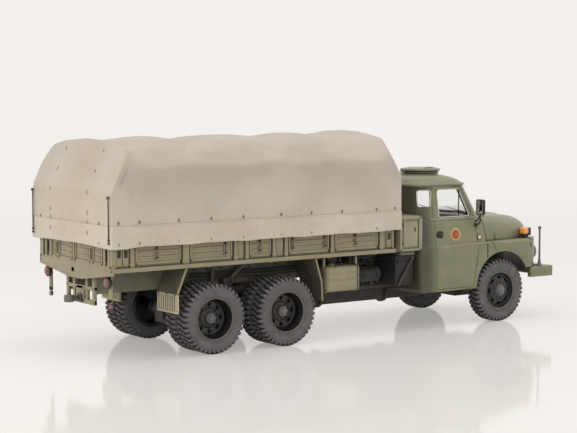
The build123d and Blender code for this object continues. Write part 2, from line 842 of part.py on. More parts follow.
def door_window():
    """Side view of a door's window, in front of the door's rear frame."""
    slope = (door_belt_x - door_top_x) / (door_top_z - belt_z)
    with BuildSketch(side(0)) as outline:
        with BuildLine():
            Polyline(
                (door_rear_x + 2 * pillar_w, window_sill_z),
                (door_belt_x - pillar_w - slope * (window_sill_z - belt_z), window_sill_z),
                (door_belt_x - pillar_w - slope * (window_head_z - belt_z), window_head_z),
                (door_rear_x + 2 * pillar_w, window_head_z),
                close=True,
            )
        make_face()
    return outline.sketch


def screen_panes():
    """Front view of the two halves of the windscreen."""
    pane_w = screen_half_w - screen_post_w / 2
    pane_mid_z = (screen_sill_z + screen_head_z) / 2
    with BuildSketch(across(screen_top_x - screen_corner_r)) as panes:
        for hand in (-1, 1):
            with Locations((hand * (screen_post_w + pane_w) / 2, pane_mid_z)):
                Rectangle(pane_w, screen_head_z - screen_sill_z)
    return panes.sketch


def back_pane():
    """Rear view of the window in the back wall."""
    with BuildSketch(across(cab_rear_x + cab_rear_corner_r)) as pane:
        with Locations((0, (back_window_sill_z + window_head_z) / 2)):
            Rectangle(2 * back_window_half_w, window_head_z - back_window_sill_z)
    return pane.sketch


def corner_plane(hand):
    """Plane square to the rounded rear corner of the cab, looking inward."""
    turn = math.radians(corner_window_angle)
    centre = Vector(cab_rear_x + cab_rear_corner_r, hand * (glass_low_half_w - cab_rear_corner_r), 0)
    inward = Vector(math.sin(turn), -hand * math.cos(turn), 0)
    mid = Vector(0, 0, (corner_window_sill_z + window_head_z) / 2)
    return Plane(origin=centre - inward * (cab_rear_corner_r + corner_cut_reach) + mid, z_dir=inward,
                 x_dir=(math.cos(turn), hand * math.sin(turn), 0))


def wheel_arches(mode):
    """Openings over the front wheels, right across the truck."""
    with BuildSketch(side(0)) as opening:
        with Locations((arch_x, arch_z)):
            Circle(arch_r)
        with Locations((arch_x, arch_z - arch_r / 2)):
            Rectangle(2 * arch_r, arch_r)
    extrude(opening.sketch, amount=2 * cab_half_w, both=True, mode=mode)


# Whole skin of the cab, from which the body and the doors are parted
with BuildPart() as cab_skin:
    body_loft(cab_sections, 0, 0)
    body_loft(roof_sections, 0, 0)
    body_loft(cab_sections, cab_wall, 0, Mode.SUBTRACT)
    body_loft(roof_sections, cab_wall, cab_wall, Mode.SUBTRACT)
    extrude(door_window(), amount=2 * cab_half_w, both=True, mode=Mode.SUBTRACT)
    extrude(screen_panes(), amount=cab_front_x, mode=Mode.SUBTRACT)
    extrude(back_pane(), amount=-2 * cab_rear_corner_r, mode=Mode.SUBTRACT)
    for hand in (-1, 1):
        with BuildSketch(corner_plane(hand)):
            Rectangle(corner_window_w, window_head_z - corner_window_sill_z)
        extrude(amount=cab_rear_corner_r, mode=Mode.SUBTRACT)
    upright(hatch_x, hatch_y, hatch_seat_z - cab_wall, hatch_lid_top_z, hatch_stem_r + hatch_play,
            Mode.SUBTRACT)
    wheel_arches(Mode.SUBTRACT)
    block(0, 2 * cab_front_x, -cab_tunnel_half_w, cab_tunnel_half_w, 0, rail_top_z, Mode.SUBTRACT)

with BuildPart() as cab_shell:
    add(cab_skin.part)
    extrude(door_outline(0, 0), amount=2 * cab_half_w, both=True, mode=Mode.SUBTRACT)

doors = {}
for side_name, hand in (("left", 1), ("right", -1)):
    with BuildPart() as door:
        add(cab_skin.part)
        extrude(door_outline(hand * cab_half_w / 2, door_seam), amount=-hand * cab_half_w,
                mode=Mode.INTERSECT)
    doors[f"{side_name}_door"] = door

# Panes, cut from a thin skin inside the cab's own
with BuildPart() as glass_skin:
    body_loft(cab_sections, glass_inset, 0)
    body_loft(cab_sections, glass_inset + glass_t, 0, Mode.SUBTRACT)

with BuildPart() as door_glass:
    add(glass_skin.part)
    extrude(door_window(), amount=2 * cab_half_w, both=True, mode=Mode.INTERSECT)

with BuildPart() as windscreen:
    add(glass_skin.part)
    extrude(screen_panes(), amount=cab_front_x, mode=Mode.INTERSECT)

with BuildPart() as back_glass:
    add(glass_skin.part)
    extrude(back_pane(), amount=-2 * cab_rear_corner_r, mode=Mode.INTERSECT)

with BuildPart() as right_corner_glass:
    add(glass_skin.part)
    with BuildSketch(corner_plane(-1)):
        Rectangle(corner_window_w, window_head_z - corner_window_sill_z)
    extrude(amount=cab_rear_corner_r, mode=Mode.INTERSECT)

with BuildPart() as corner_glass:
    add(right_corner_glass.part)
    mirror(about=Plane.XZ)

# Cab floor on the rails
with BuildPart() as cab_floor:
    body_loft(cab_sections, cab_wall + floor_clearance, 0)
    floor_mid_z = rail_top_z + cab_floor_t / 2
    with Locations((cab_front_x, 0, floor_mid_z)):
        Box(2 * cab_front_x, 4 * cab_half_w, cab_floor_t, mode=Mode.INTERSECT)

# Two seats on the cab floor
seat_floor_z = rail_top_z + cab_floor_t
with BuildPart() as seats:
    for hand in (-1, 1):
        seat_y0 = hand * seat_y - seat_w / 2
        block(seat_rear_x, seat_rear_x + seat_depth, seat_y0, seat_y0 + seat_w,
              seat_floor_z, seat_floor_z + seat_cushion_h)
        block(seat_rear_x, seat_rear_x + seat_back_t, seat_y0, seat_y0 + seat_w,
              seat_floor_z, seat_floor_z + seat_back_h)
    fillet(seats.edges().filter_by(Axis.Y).group_by(Axis.Z)[-1], seat_round)

# Dashboard across the cab under the windscreen
with BuildPart() as dashboard:
    dash_front_x = cab_front_x - cab_wall - dash_clearance
    dash_top_z = belt_low_z - dash_clearance
    dash_half_w = belt_half_w - cab_wall - dash_clearance
    block(dash_front_x - dash_depth, dash_front_x, -dash_half_w, dash_half_w,
          dash_top_z - dash_h, dash_top_z)
    fillet(dashboard.edges().filter_by(Axis.Y).group_by(Axis.X)[0], dash_round)

# Steering wheel on its column
with BuildPart() as steering_wheel:
    wheel_plane = Plane(origin=(wheel_x, seat_y, wheel_z), z_dir=(
        -math.cos(math.radians(wheel_tilt)), 0, math.sin(math.radians(wheel_tilt))), x_dir=(0, 1, 0))
    with Locations(wheel_plane):
        Torus(wheel_ring_r, wheel_tube_r)
        Cylinder(wheel_boss_r, wheel_boss_t)
        for spoke in range(wheel_spokes):
            with Locations(Location((0, 0, 0), (0, 0, 180 * spoke / wheel_spokes))):
                Box(2 * wheel_ring_r, wheel_boss_t, wheel_tube_r)
    column_l = (dash_front_x - dash_depth - wheel_x) / math.cos(math.radians(wheel_tilt))
    with BuildSketch(wheel_plane):
        Circle(wheel_tube_r)
    extrude(amount=-(column_l - wheel_boss_t))

# Round hatch in the roof, on the right
with BuildPart() as roof_hatch:
    upright(hatch_x, hatch_y, hatch_seat_z, hatch_lid_bottom_z, hatch_stem_r)
    upright(hatch_x, hatch_y, hatch_lid_bottom_z, hatch_lid_top_z, hatch_lid_r)
    fillet(roof_hatch.edges().group_by(Axis.Z)[-1], hatch_lid_t / 2)

# Bonnet in upright sections from the cowl to the nose
# Columns: place ahead of the cab, distance in from the cab's side, drop from the belt, corner radius
bonnet_sections = (
    (0.0, glass_low_inset, 0.0, 5.0),
    (11.0, 3.8, 0.0, 6.5),
    (21.0, 6.4, 1.3, 7.5),
    (27.0, 9.6, 3.8, 5.5),
    (31.0, 13.6, 7.4, 2.0),
)
with BuildPart() as bonnet:
    for ahead, inset, drop, corner_r in bonnet_sections:
        half_w = cab_half_w - inset
        top_z = belt_z - drop
        with BuildSketch(across(cab_front_x + ahead)) as bonnet_section:
            with Locations((0, (bonnet_bottom_z + top_z) / 2)):
                Rectangle(2 * half_w, top_z - bonnet_bottom_z)
            fillet(bonnet_section.vertices().group_by(Axis.Y)[-1], corner_r)
    loft(ruled=True)

# Front fenders with the sockets of the headlamps
with BuildPart() as front_fenders:
    with BuildSketch(level(fender_bottom_z)) as fender_plan:
        with Locations(((cab_front_x + fender_front_x) / 2, (fender_inner_y + fender_outer_y) / 2)):
            Rectangle(fender_front_x - cab_front_x, fender_outer_y - fender_inner_y)
        nose_r = min(fender_nose_r, fender_outer_y - fender_inner_y - headlamp_play)
        fillet(fender_plan.vertices().group_by(Axis.X)[-1].sort_by(Axis.Y)[-1], nose_r)
    extrude(amount=bonnet_bottom_z - fender_bottom_z)
    fillet(front_fenders.edges().group_by(Axis.Z)[-1].group_by(Axis.Y)[-1], fender_top_round)
    wheel_arches(Mode.SUBTRACT)
    long_rod(fender_front_x - headlamp_depth, fender_front_x, headlamp_y, headlamp_z, headlamp_r,
             Mode.SUBTRACT)
    mirror(about=Plane.XZ)

with BuildPart() as headlamps:
    long_rod(fender_front_x - headlamp_depth, fender_front_x + headlamp_proud, headlamp_y,
             headlamp_z, headlamp_r - headlamp_play)
    fillet(headlamps.edges().group_by(Axis.X)[-1], headlamp_proud)
    mirror(about=Plane.XZ)

# Grille between the fenders
with BuildPart() as grille:
    block(fender_front_x - grille_t, fender_front_x, -fender_inner_y, fender_inner_y,
          grille_bottom_z, bonnet_bottom_z)
    slot_step = (bonnet_bottom_z - grille_bottom_z) / grille_bars
    for slot in range(1, grille_bars):
        slot_z = grille_bottom_z + slot * slot_step
        block(fender_front_x - grille_t, fender_front_x, -fender_inner_y + grille_t,
              fender_inner_y - grille_t, slot_z - grille_slot_h / 2, slot_z + grille_slot_h / 2,
              Mode.SUBTRACT)

# Indicator lamps on their feet on the fenders
with BuildPart() as indicator_feet:
    block(indicator_x - indicator_w / 2, indicator_x + indicator_w / 2,
          indicator_y - indicator_foot_w / 2, indicator_y + indicator_foot_w / 2,
          bonnet_bottom_z, indicator_bottom_z)
    mirror(about=Plane.XZ)

with BuildPart() as indicator_lamps:
    block(indicator_x - indicator_l / 2, indicator_x + indicator_l / 2,
          indicator_y - indicator_w / 2, indicator_y + indicator_w / 2,
          indicator_bottom_z, indicator_top_z)
    fillet(indicator_lamps.edges().filter_by(Axis.Z), indicator_round)
    mirror(about=Plane.XZ)

# Bumper with wings that run back beside the fenders
with BuildPart() as front_bumper:
    block(bumper_front_x - bumper_bar_t, bumper_front_x, -bumper_half_w, bumper_half_w,
          bumper_bottom_z, bumper_top_z)
    for hand in (-1, 1):
        block(bumper_wing_rear_x, bumper_front_x, hand * (bumper_half_w - bumper_wing_t),
              hand * bumper_half_w, bumper_bottom_z, bumper_top_z)
    fillet(front_bumper.edges().filter_by(Axis.Z).group_by(Axis.X)[-1], bumper_round)

# Marker poles on the bumper's wings
with BuildPart() as marker_poles:
    pole_y = bumper_half_w - bumper_wing_t / 2
    upright(pole_x, pole_y, bumper_top_z, bumper_top_z + pole_base_h, pole_base_r)
    upright(pole_x, pole_y, bumper_top_z, pole_top_z, pole_r)
    with Locations((pole_x, pole_y, pole_top_z)):
        Sphere(pole_knob_r)
    mirror(about=Plane.XZ)


def body_side_y(z):
    """Half width of the cab's side at height z, between the crease and the belt."""
    share = (z - crease_top_z) / (belt_low_z - crease_top_z)
    return shelf_half_w + share * (belt_half_w - shelf_half_w)


# Mirrors on arms from the foot of the windscreen pillars
with BuildPart() as mirrors:
    block(mirror_x - mirror_t / 2, mirror_x + mirror_t / 2, mirror_y - mirror_w / 2,
          mirror_y + mirror_w / 2, mirror_bottom_z, mirror_bottom_z + mirror_h)
    fillet(mirrors.edges().filter_by(Axis.X), mirror_round)
    upright(mirror_x, mirror_y, mirror_foot_z, mirror_bottom_z + mirror_round, mirror_arm_r)
    foot_y = body_side_y(mirror_foot_z - mirror_foot_r) + trim_gap
    cross_rod(mirror_x, foot_y, mirror_y + mirror_arm_r, mirror_foot_z, mirror_foot_r)
    mirror(about=Plane.XZ)

# Side repeaters and door handles
with BuildPart() as side_repeaters:
    repeater_y = body_side_y(repeater_z - repeater_r) + trim_gap
    cross_rod(repeater_x, repeater_y, repeater_y + repeater_proud, repeater_z, repeater_r)
    mirror(about=Plane.XZ)

with BuildPart() as door_handles:
    handle_y = body_side_y(handle_z - handle_h) + trim_gap
    block(handle_x - handle_l / 2, handle_x + handle_l / 2, handle_y, handle_y + handle_proud,
          handle_z - handle_h / 2, handle_z + handle_h / 2)
    mirror(about=Plane.XZ)

# Tow plate across the tail of the rails, with two windows and the bar
with BuildPart() as tow_plate:
    block(tow_plate_x - tow_plate_t, tow_plate_x, -tow_plate_half_w, tow_plate_half_w,
          tow_plate_bottom_z, rail_top_z)
    for hand in (-1, 1):
        window_y = hand * tow_plate_half_w / 2
        window_z = (tow_plate_bottom_z + rail_top_z) / 2
        block(tow_plate_x - tow_plate_t, tow_plate_x, window_y - tow_window_w / 2,
              window_y + tow_window_w / 2, window_z - tow_window_h / 2, window_z + tow_window_h / 2,
              Mode.SUBTRACT)

with BuildPart() as tow_bar:
    block(tow_bar_tip_x, tow_plate_x - tow_plate_t, -tow_bar_half_w, tow_bar_half_w,
          tow_bar_z - tow_bar_half_h, tow_bar_z + tow_bar_half_h)
    fillet(tow_bar.edges().filter_by(Axis.Z).group_by(Axis.X)[0], tow_bar_half_h)
    upright(tow_bar_tip_x + tow_eye_inset, 0, tow_bar_z - tow_bar_half_h, tow_bar_z + tow_bar_half_h,
            tow_pin_r, Mode.SUBTRACT)

# Lamp boards under the rear corners, with reflectors and lamps
with BuildPart() as lamp_boards:
    block(lamp_board_x - lamp_board_t / 2, lamp_board_x + lamp_board_t / 2,
          lamp_board_y - lamp_board_w / 2, lamp_board_y + lamp_board_w / 2,
          lamp_board_bottom_z + reflector_h, sill_bottom_z)
    mirror(about=Plane.XZ)

with BuildPart() as reflectors:
    block(lamp_board_x - lamp_board_t / 2, lamp_board_x + lamp_board_t / 2,
          lamp_board_y - lamp_board_w / 2, lamp_board_y + lamp_board_w / 2,
          lamp_board_bottom_z, lamp_board_bottom_z + reflector_h)
    mirror(about=Plane.XZ)

with BuildPart() as tail_lamps:
    lamp_back_x = lamp_board_x - lamp_board_t / 2
    long_rod(lamp_back_x - tail_lamp_t, lamp_back_x, lamp_board_y, tail_lamp_z, tail_lamp_r)
    fillet(tail_lamps.edges().group_by(Axis.X)[0], tail_lamp_round)
    mirror(about=Plane.XZ)

pieces = {
    **wheel_pieces,
    "backbone_tube": backbone_tube,
    "half_axles": half_axles,
    "chassis_frame": chassis_frame,
    "springs": springs,
    "gearbox": gearbox,
    "bed_floor": bed_floor,
    **side_boards,
    **end_boards,
    "rear_sill_plate": rear_sill_plate,
    "tilt_cover": tilt_cover,
    "lacing_rods": lacing_rods,
    "front_mudguards": front_mudguards,
    "rear_mudflaps": rear_mudflaps,
    "fuel_tanks": fuel_tanks,
    "air_tanks": air_tanks,
    "battery_boxes": battery_boxes,
    "storage_lockers": storage_lockers,
    "cab_shell": cab_shell,
    **doors,
    "door_glass": door_glass,
    "windscreen": windscreen,
    "back_glass": back_glass,
    "corner_glass": corner_glass,
    "cab_floor": cab_floor,
    "seats": seats,
    "dashboard": dashboard,
    "steering_wheel": steering_wheel,
    "roof_hatch": roof_hatch,
    "bonnet": bonnet,
    "front_fenders": front_fenders,
    "headlamps": headlamps,
    "grille": grille,
    "indicator_feet": indicator_feet,
    "indicator_lamps": indicator_lamps,
    "front_bumper": front_bumper,
    "marker_poles": marker_poles,
    "mirrors": mirrors,
    "side_repeaters": side_repeaters,
    "door_handles": door_handles,
    "tow_plate": tow_plate,
    "tow_bar": tow_bar,
    "lamp_boards": lamp_boards,
    "reflectors": reflectors,
    "tail_lamps": tail_lamps,
}
for name, piece in pieces.items():
    piece.part.label = name
    export_step(piece.part, f"parts/{name}.step")
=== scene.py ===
import json
import math
import random

import bmesh
import bpy
import numpy as np
from mathutils import Matrix, Vector


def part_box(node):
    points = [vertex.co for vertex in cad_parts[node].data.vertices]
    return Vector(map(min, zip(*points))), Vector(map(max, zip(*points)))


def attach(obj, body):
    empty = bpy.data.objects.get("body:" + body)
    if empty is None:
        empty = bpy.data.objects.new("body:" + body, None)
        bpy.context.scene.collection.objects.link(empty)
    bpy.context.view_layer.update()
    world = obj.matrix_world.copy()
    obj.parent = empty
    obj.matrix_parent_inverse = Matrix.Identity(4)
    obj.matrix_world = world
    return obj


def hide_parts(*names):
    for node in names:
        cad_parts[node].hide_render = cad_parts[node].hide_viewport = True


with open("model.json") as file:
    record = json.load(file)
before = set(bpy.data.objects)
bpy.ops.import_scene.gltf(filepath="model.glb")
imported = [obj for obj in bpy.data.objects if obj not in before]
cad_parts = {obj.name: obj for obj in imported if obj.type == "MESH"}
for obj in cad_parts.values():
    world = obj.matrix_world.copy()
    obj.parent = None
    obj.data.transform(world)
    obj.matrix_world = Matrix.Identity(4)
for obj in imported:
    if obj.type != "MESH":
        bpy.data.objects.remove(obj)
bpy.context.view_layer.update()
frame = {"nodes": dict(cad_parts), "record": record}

# Looks of a 1:43 display model of a three-axle cargo truck with a canvas tilt.
# Shapes are worked out in millimetres and brought to metres by MM. +X is forward, +Y left, +Z up.
MM = 0.001
dice = random.Random(43)
nodes = frame["nodes"]


def node_mm(name):
    """Lowest and highest corner of a solid, in millimetres."""
    low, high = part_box(name)
    return [v / MM for v in low], [v / MM for v in high]


# Shader arithmetic
class Shade:
    """One value in a material, with Python's arithmetic on it."""

    def __init__(self, tree, socket=None):
        self.tree = tree
        self.socket = socket

    def node(self, kind, settings=None, sockets=None, out=0):
        """Add a node, set its settings first and then its sockets, and give one of its outputs."""
        made = self.tree.nodes.new("ShaderNode" + kind)
        for key, value in (settings or {}).items():
            if key == "stops":
                ramp = made.color_ramp.elements
                while len(ramp) < len(value):
                    ramp.new(0.5)
                for stop, (place, colour) in zip(ramp, value):
                    stop.position = place
                    stop.color = colour
            else:
                setattr(made, key, value)
        for key, value in (sockets or {}).items():
            if isinstance(value, Shade):
                self.tree.links.new(value.socket, made.inputs[key])
            else:
                made.inputs[key].default_value = value
        return Shade(self.tree, made.outputs[out])

    def math(self, operation, first, second=0.0):
        return self.node("Math", {"operation": operation}, {0: first, 1: second})

    def __add__(self, other):
        return self.math("ADD", self, other)

    def __radd__(self, other):
        return self.math("ADD", other, self)

    def __sub__(self, other):
        return self.math("SUBTRACT", self, other)

    def __rsub__(self, other):
        return self.math("SUBTRACT", other, self)

    def __mul__(self, other):
        return self.math("MULTIPLY", self, other)

    def __rmul__(self, other):
        return self.math("MULTIPLY", other, self)

    def sine(self):
        return self.math("SINE", self)

    def ramp(self, low, high):
        """0 below low and 1 above high, with a soft step between."""
        return self.node("MapRange", {"interpolation_type": "SMOOTHSTEP", "clamp": True},
                         {"Value": self, "From Min": low, "From Max": high})

    def blend(self, first, second):
        """Colour that goes from first to second as this value goes from 0 to 1."""
        return self.node("Mix", {"data_type": "RGBA"}, {0: self, 6: first, 7: second}, out=2)


def rgb(red, green, blue):
    """A linear colour from the 0 to 255 values of a screen."""
    def line(value):
        share = value / 255
        return share / 12.92 if share <= 0.04045 else ((share + 0.055) / 1.055) ** 2.4
    return (line(red), line(green), line(blue), 1.0)


def new_material(name):
    """An empty material: its Shade to build on, and its output node."""
    material = bpy.data.materials.new(name)
    material.use_nodes = True
    tree = material.node_tree
    tree.nodes.clear()
    return material, Shade(tree), tree.nodes.new("ShaderNodeOutputMaterial")


def place_of(s):
    """The spot on the surface, in millimetres, in the object's own axes."""
    spot = s.node("TexCoord", out=3)
    return s.node("VectorMath", {"operation": "SCALE"}, {0: spot, 3: 1 / MM})


def parts_of(s, vector):
    """The three parts of a vector, each as a value of its own."""
    split = s.node("SeparateXYZ", {}, {0: vector}).socket.node
    return [Shade(s.tree, split.outputs[i]) for i in range(3)]


def stretched(s, spot, factors):
    """A spot with each of its axes scaled."""
    return s.node("VectorMath", {"operation": "MULTIPLY"}, {0: spot, 1: factors})


def noise(s, spot, scale, detail=3.0, rough=0.5):
    return s.node("TexNoise", {}, {"Vector": spot, "Scale": scale, "Detail": detail, "Roughness": rough})


def openness(s, reach_mm, samples=6, own=False):
    """Near 1 in the open and near 0 in joints and hollows; own looks at the piece alone."""
    return s.node("AmbientOcclusion", {"samples": samples, "only_local": own},
                  {"Distance": reach_mm * MM}, out=1)


def bumped(s, height, strength, reach_mm):
    """A surface normal raised by height, where reach_mm is what a height of 1 stands for."""
    return s.node("Bump", {}, {"Height": height, "Strength": strength, "Distance": reach_mm * MM})


def surface(s, output, **sockets):
    """The Principled shader at the end of a material."""
    shader = s.node("BsdfPrincipled", {}, {key.replace("_", " "): value for key, value in sockets.items()})
    s.tree.links.new(shader.socket, output.inputs["Surface"])


# How near a surface has to be for the paint to darken in joints, and for painted shade in larger hollows
JOINT_REACH, HOLLOW_REACH = 1.1, 14.0
# The shade on the cab's rear ends between these heights
SHADE_TOP = (54.6, 55.6)


def paint(name, colour, shaded, rough=0.46, coat=0.0, shaded_x=None):
    """Satin spray paint on a casting: faint mottling, fine grain, darker paint in joints, painted shade in
    hollows.

    shaded_x gives two places along the truck: the walls carry a painted shadow behind the first and none
    ahead of the second.
    """
    material, s, output = new_material(name)
    spot = place_of(s)
    mottle = noise(s, spot, 0.16, 4.0)
    grit = noise(s, spot, 7.0, 3.0, 0.6)
    wash = 1 - openness(s, JOINT_REACH).ramp(0.42, 0.98)
    tone = mottle.ramp(0.3, 0.75).blend(shaded, colour)
    dark = [0.3 * v for v in shaded[:3]] + [1.0]
    # Painted shade: the paint goes dark in larger hollows, and behind the cab where a shadow falls
    painted_shade = (1 - openness(s, HOLLOW_REACH).ramp(0.12, 0.62)) * 0.5
    if shaded_x:
        along, _, up = parts_of(s, spot)
        painted_shade = s.math("MAXIMUM", painted_shade, (1 - along.ramp(*shaded_x)) * (1 - up.ramp(*SHADE_TOP)) * 0.95)
    body = painted_shade.blend((wash * 0.75).blend(tone, dark), dark)
    surface(s, output, Base_Color=body, Roughness=rough + 0.12 * mottle + 0.08 * grit - 0.08,
            Normal=bumped(s, grit, 0.35, 0.012), Coat_Weight=coat, Coat_Roughness=0.28,
            Specular_IOR_Level=0.42)
    return material


def plastic(name, colour, shaded, rough=0.5, scale=3.0):
    """Moulded plastic: fine pitted grain, slightly uneven gloss."""
    material, s, output = new_material(name)
    spot = place_of(s)
    mottle = noise(s, spot, 0.35, 3.0)
    grit = noise(s, spot, scale, 4.0, 0.65)
    tone = mottle.ramp(0.25, 0.8).blend(shaded, colour)
    surface(s, output, Base_Color=tone, Roughness=rough + 0.2 * (grit - 0.5),
            Normal=bumped(s, grit, 0.5, 0.03), Specular_IOR_Level=0.4)
    return material


def rubber(name):
    """Tyre rubber: dull dark grey with paler dust, painted shade between the lugs, fine mould grain."""
    material, s, output = new_material(name)
    spot = place_of(s)
    dust = noise(s, spot, 0.5, 5.0, 0.6)
    grit = noise(s, spot, 5.0, 3.0, 0.6)
    # Painted shade: near black between the lugs, where shade falls
    out_of_painted_shade = openness(s, 1.2).ramp(0.35, 0.95)
    tone = (dust.ramp(0.35, 0.7) * 0.7).blend(rgb(92, 90, 91), rgb(112, 110, 111))
    body = out_of_painted_shade.blend(rgb(34, 33, 33), tone)
    surface(s, output, Base_Color=body, Roughness=0.66 + 0.16 * dust, Normal=bumped(s, grit, 0.4, 0.05),
            Specular_IOR_Level=0.32)
    return material


def canvas(name):
    """Tilt canvas as the model moulds it: fine upright threads, fainter ones across, soft stains, painted
    shade in the creases, darker above the seam and towards the roof.
    """
    material, s, output = new_material(name)
    spot = place_of(s)
    along, across, up = parts_of(s, spot)
    face_x, _, face_z = parts_of(s, s.node("NewGeometry", out=1))
    on_end = s.math("ABSOLUTE", face_x).ramp(0.55, 0.75)
    on_roof = s.math("ABSOLUTE", face_z).ramp(0.55, 0.8)
    wander = noise(s, spot, 0.6, 2.0)
    warp_line = s.node("Mix", {"data_type": "FLOAT"}, {0: on_end, 2: along, 3: across})
    weft_line = s.node("Mix", {"data_type": "FLOAT"}, {0: on_roof, 2: up, 3: across})
    warp = (warp_line * 11.4 + wander * 2.2).sine()
    weft = (weft_line * 12.6 + wander * 1.7).sine()
    slub = noise(s, stretched(s, spot, (3.2, 3.2, 0.22)), 1.0, 3.0, 0.7)
    thread = warp * 0.5 + weft * 0.28 + slub * 1.1
    stain = noise(s, spot, 0.045, 4.0, 0.55)
    tone = stain.ramp(0.32, 0.7).blend(rgb(190, 178, 163), rgb(206, 195, 181))
    lit = (slub.ramp(0.2, 0.85) * 0.4).blend(tone, rgb(220, 210, 198))
    groove = (1 - (warp * 0.5 + 0.5).ramp(0.0, 0.4)) * 0.16
    # Painted shade: darker in the creases, where shade falls; and the canvas darker above the seam and
    # towards the roof
    painted_crease_shade = (1 - openness(s, 6.0, samples=8, own=True).ramp(0.72, 0.99)) * 0.5
    darker_upwards = up.ramp(46.9, 47.15) * 0.1 + up.ramp(48.0, 67.0) * 0.16
    crease_shade_and_upward_tone = s.math("MAXIMUM", painted_crease_shade, darker_upwards)
    body = crease_shade_and_upward_tone.blend(groove.blend(lit, rgb(150, 138, 122)), rgb(142, 131, 119))
    surface(s, output, Base_Color=body, Roughness=0.86 - 0.06 * slub, Normal=bumped(s, thread, 0.55, 0.06),
            Specular_IOR_Level=0.18, Sheen_Weight=0.12, Sheen_Roughness=0.5)
    return material


def glass(name):
    """Clear moulded pane with a faint smear."""
    material, s, output = new_material(name)
    smear = noise(s, place_of(s), 0.5, 4.0)
    pane = s.node("BsdfPrincipled", {}, {
        "Base Color": (0.93, 0.95, 0.94, 1), "Roughness": 0.03 + 0.05 * smear.ramp(0.45, 0.8),
        "Transmission Weight": 1.0, "IOR": 1.05, "Specular IOR Level": 0.6})
    clear = s.node("BsdfTransparent", {}, {"Color": (0.988, 0.99, 0.988, 1)})
    gloss = s.node("LayerWeight", {}, {"Blend": 0.25}, out=0)
    both = s.node("MixShader", {}, {0: gloss * 0.5 + 0.06, 1: clear, 2: pane})
    s.tree.links.new(both.socket, output.inputs["Surface"])
    return material


def lens(name, colour, deep, glow=0.0):
    """Tinted lamp lens: ribbed inside, glossy outside; glow makes it shine, a painted light."""
    material, s, output = new_material(name)
    spot = place_of(s)
    ribs = (parts_of(s, spot)[2] * 9.0).sine()
    cloud = noise(s, spot, 0.8, 3.0)
    tone = (0.5 + 0.3 * ribs + 0.5 * (cloud - 0.5)).blend(deep, colour)
    surface(s, output, Base_Color=tone, Roughness=0.16 + 0.1 * cloud, Normal=bumped(s, ribs, 0.3, 0.03),
            Coat_Weight=0.6, Coat_Roughness=0.06, Emission_Color=tone, Emission_Strength=glow)
    return material


def steel(name, colour, rough=0.34):
    """Turned or plated metal with faint drawing lines."""
    material, s, output = new_material(name)
    lines = noise(s, stretched(s, place_of(s), (1.0, 9.0, 1.0)), 1.4, 3.0)
    tone = lines.ramp(0.3, 0.7).blend([0.7 * v for v in colour[:3]] + [1.0], colour)
    surface(s, output, Base_Color=tone, Metallic=1.0, Roughness=rough + 0.14 * lines,
            Normal=bumped(s, lines, 0.2, 0.02))
    return material


tyre_rubber = rubber("tyre rubber")
rim_black = paint("rim black", rgb(28, 27, 27), rgb(21, 20, 20), rough=0.32, coat=0.35)
hub_grey = paint("hub grey", rgb(108, 103, 99), rgb(88, 84, 81), rough=0.36, coat=0.4)
pin_steel = steel("pin steel", (0.52, 0.52, 0.53, 1))
chassis_black = plastic("chassis black", rgb(72, 69, 66), rgb(54, 52, 50), rough=0.5)
# Painted shade: darker than the chassis black, for the air tanks and battery boxes in the shade under the bed
shade_black = plastic("shade black", rgb(48, 46, 44), rgb(36, 35, 34), rough=0.55)
frame_olive = paint("frame olive", rgb(116, 113, 97), rgb(98, 96, 83), rough=0.48)
shade_olive = paint("shaded olive", rgb(94, 91, 76), rgb(80, 77, 65), rough=0.55)
# Painted light: the flaps' ribs are painted paler than the bed, against the shade they stand in
rib_green = paint("rib green", rgb(196, 188, 160), rgb(182, 174, 147), rough=0.5)
trim_black = plastic("trim black", rgb(54, 52, 50), rgb(38, 37, 36), rough=0.52, scale=6.0)
# The cab paint carries a painted shadow on its rear walls, behind the tilt
cab_green = paint("cab green", rgb(130, 128, 99), rgb(119, 117, 91), rough=0.34, coat=0.4,
                  shaded_x=(38.0, 44.2))
# Painted light: a lighter copy of the cab paint, on the lockers and on the belt beads as a painted highlight
painted_light_green = paint("locker green", rgb(152, 149, 123), rgb(140, 137, 112), rough=0.36, coat=0.3)
bed_green = paint("bed green", rgb(152, 144, 116), rgb(140, 132, 106), rough=0.42, coat=0.2)
tilt_canvas = canvas("tilt canvas")
pane_glass = glass("pane glass")
cab_lining = plastic("cab lining", rgb(92, 90, 84), rgb(72, 70, 66), rough=0.62)
# Painted light: pale linings for the door cards and the shelf under the windscreen, against the dim light in
# the cab
pale_lining = plastic("pale lining", rgb(206, 203, 200), rgb(186, 183, 180), rough=0.6)
seat_vinyl = plastic("seat vinyl", rgb(66, 60, 54), rgb(50, 46, 42), rough=0.6, scale=4.5)
lamp_glass = lens("lamp glass", rgb(226, 228, 226), rgb(150, 152, 152))
# Painted light: the amber and ruby lenses shine a little, though no lamp is lit in them
amber = lens("amber lens", rgb(244, 172, 84), rgb(214, 130, 58), glow=0.12)
ruby = lens("ruby lens", rgb(128, 78, 74), rgb(96, 54, 53), glow=0.02)
cream = lens("cream lens", rgb(238, 226, 200), rgb(200, 170, 130))
badge_red = paint("badge red", rgb(164, 92, 70), rgb(146, 78, 60), rough=0.35)
badge_yellow = paint("badge yellow", rgb(224, 186, 98), rgb(208, 168, 84), rough=0.35)
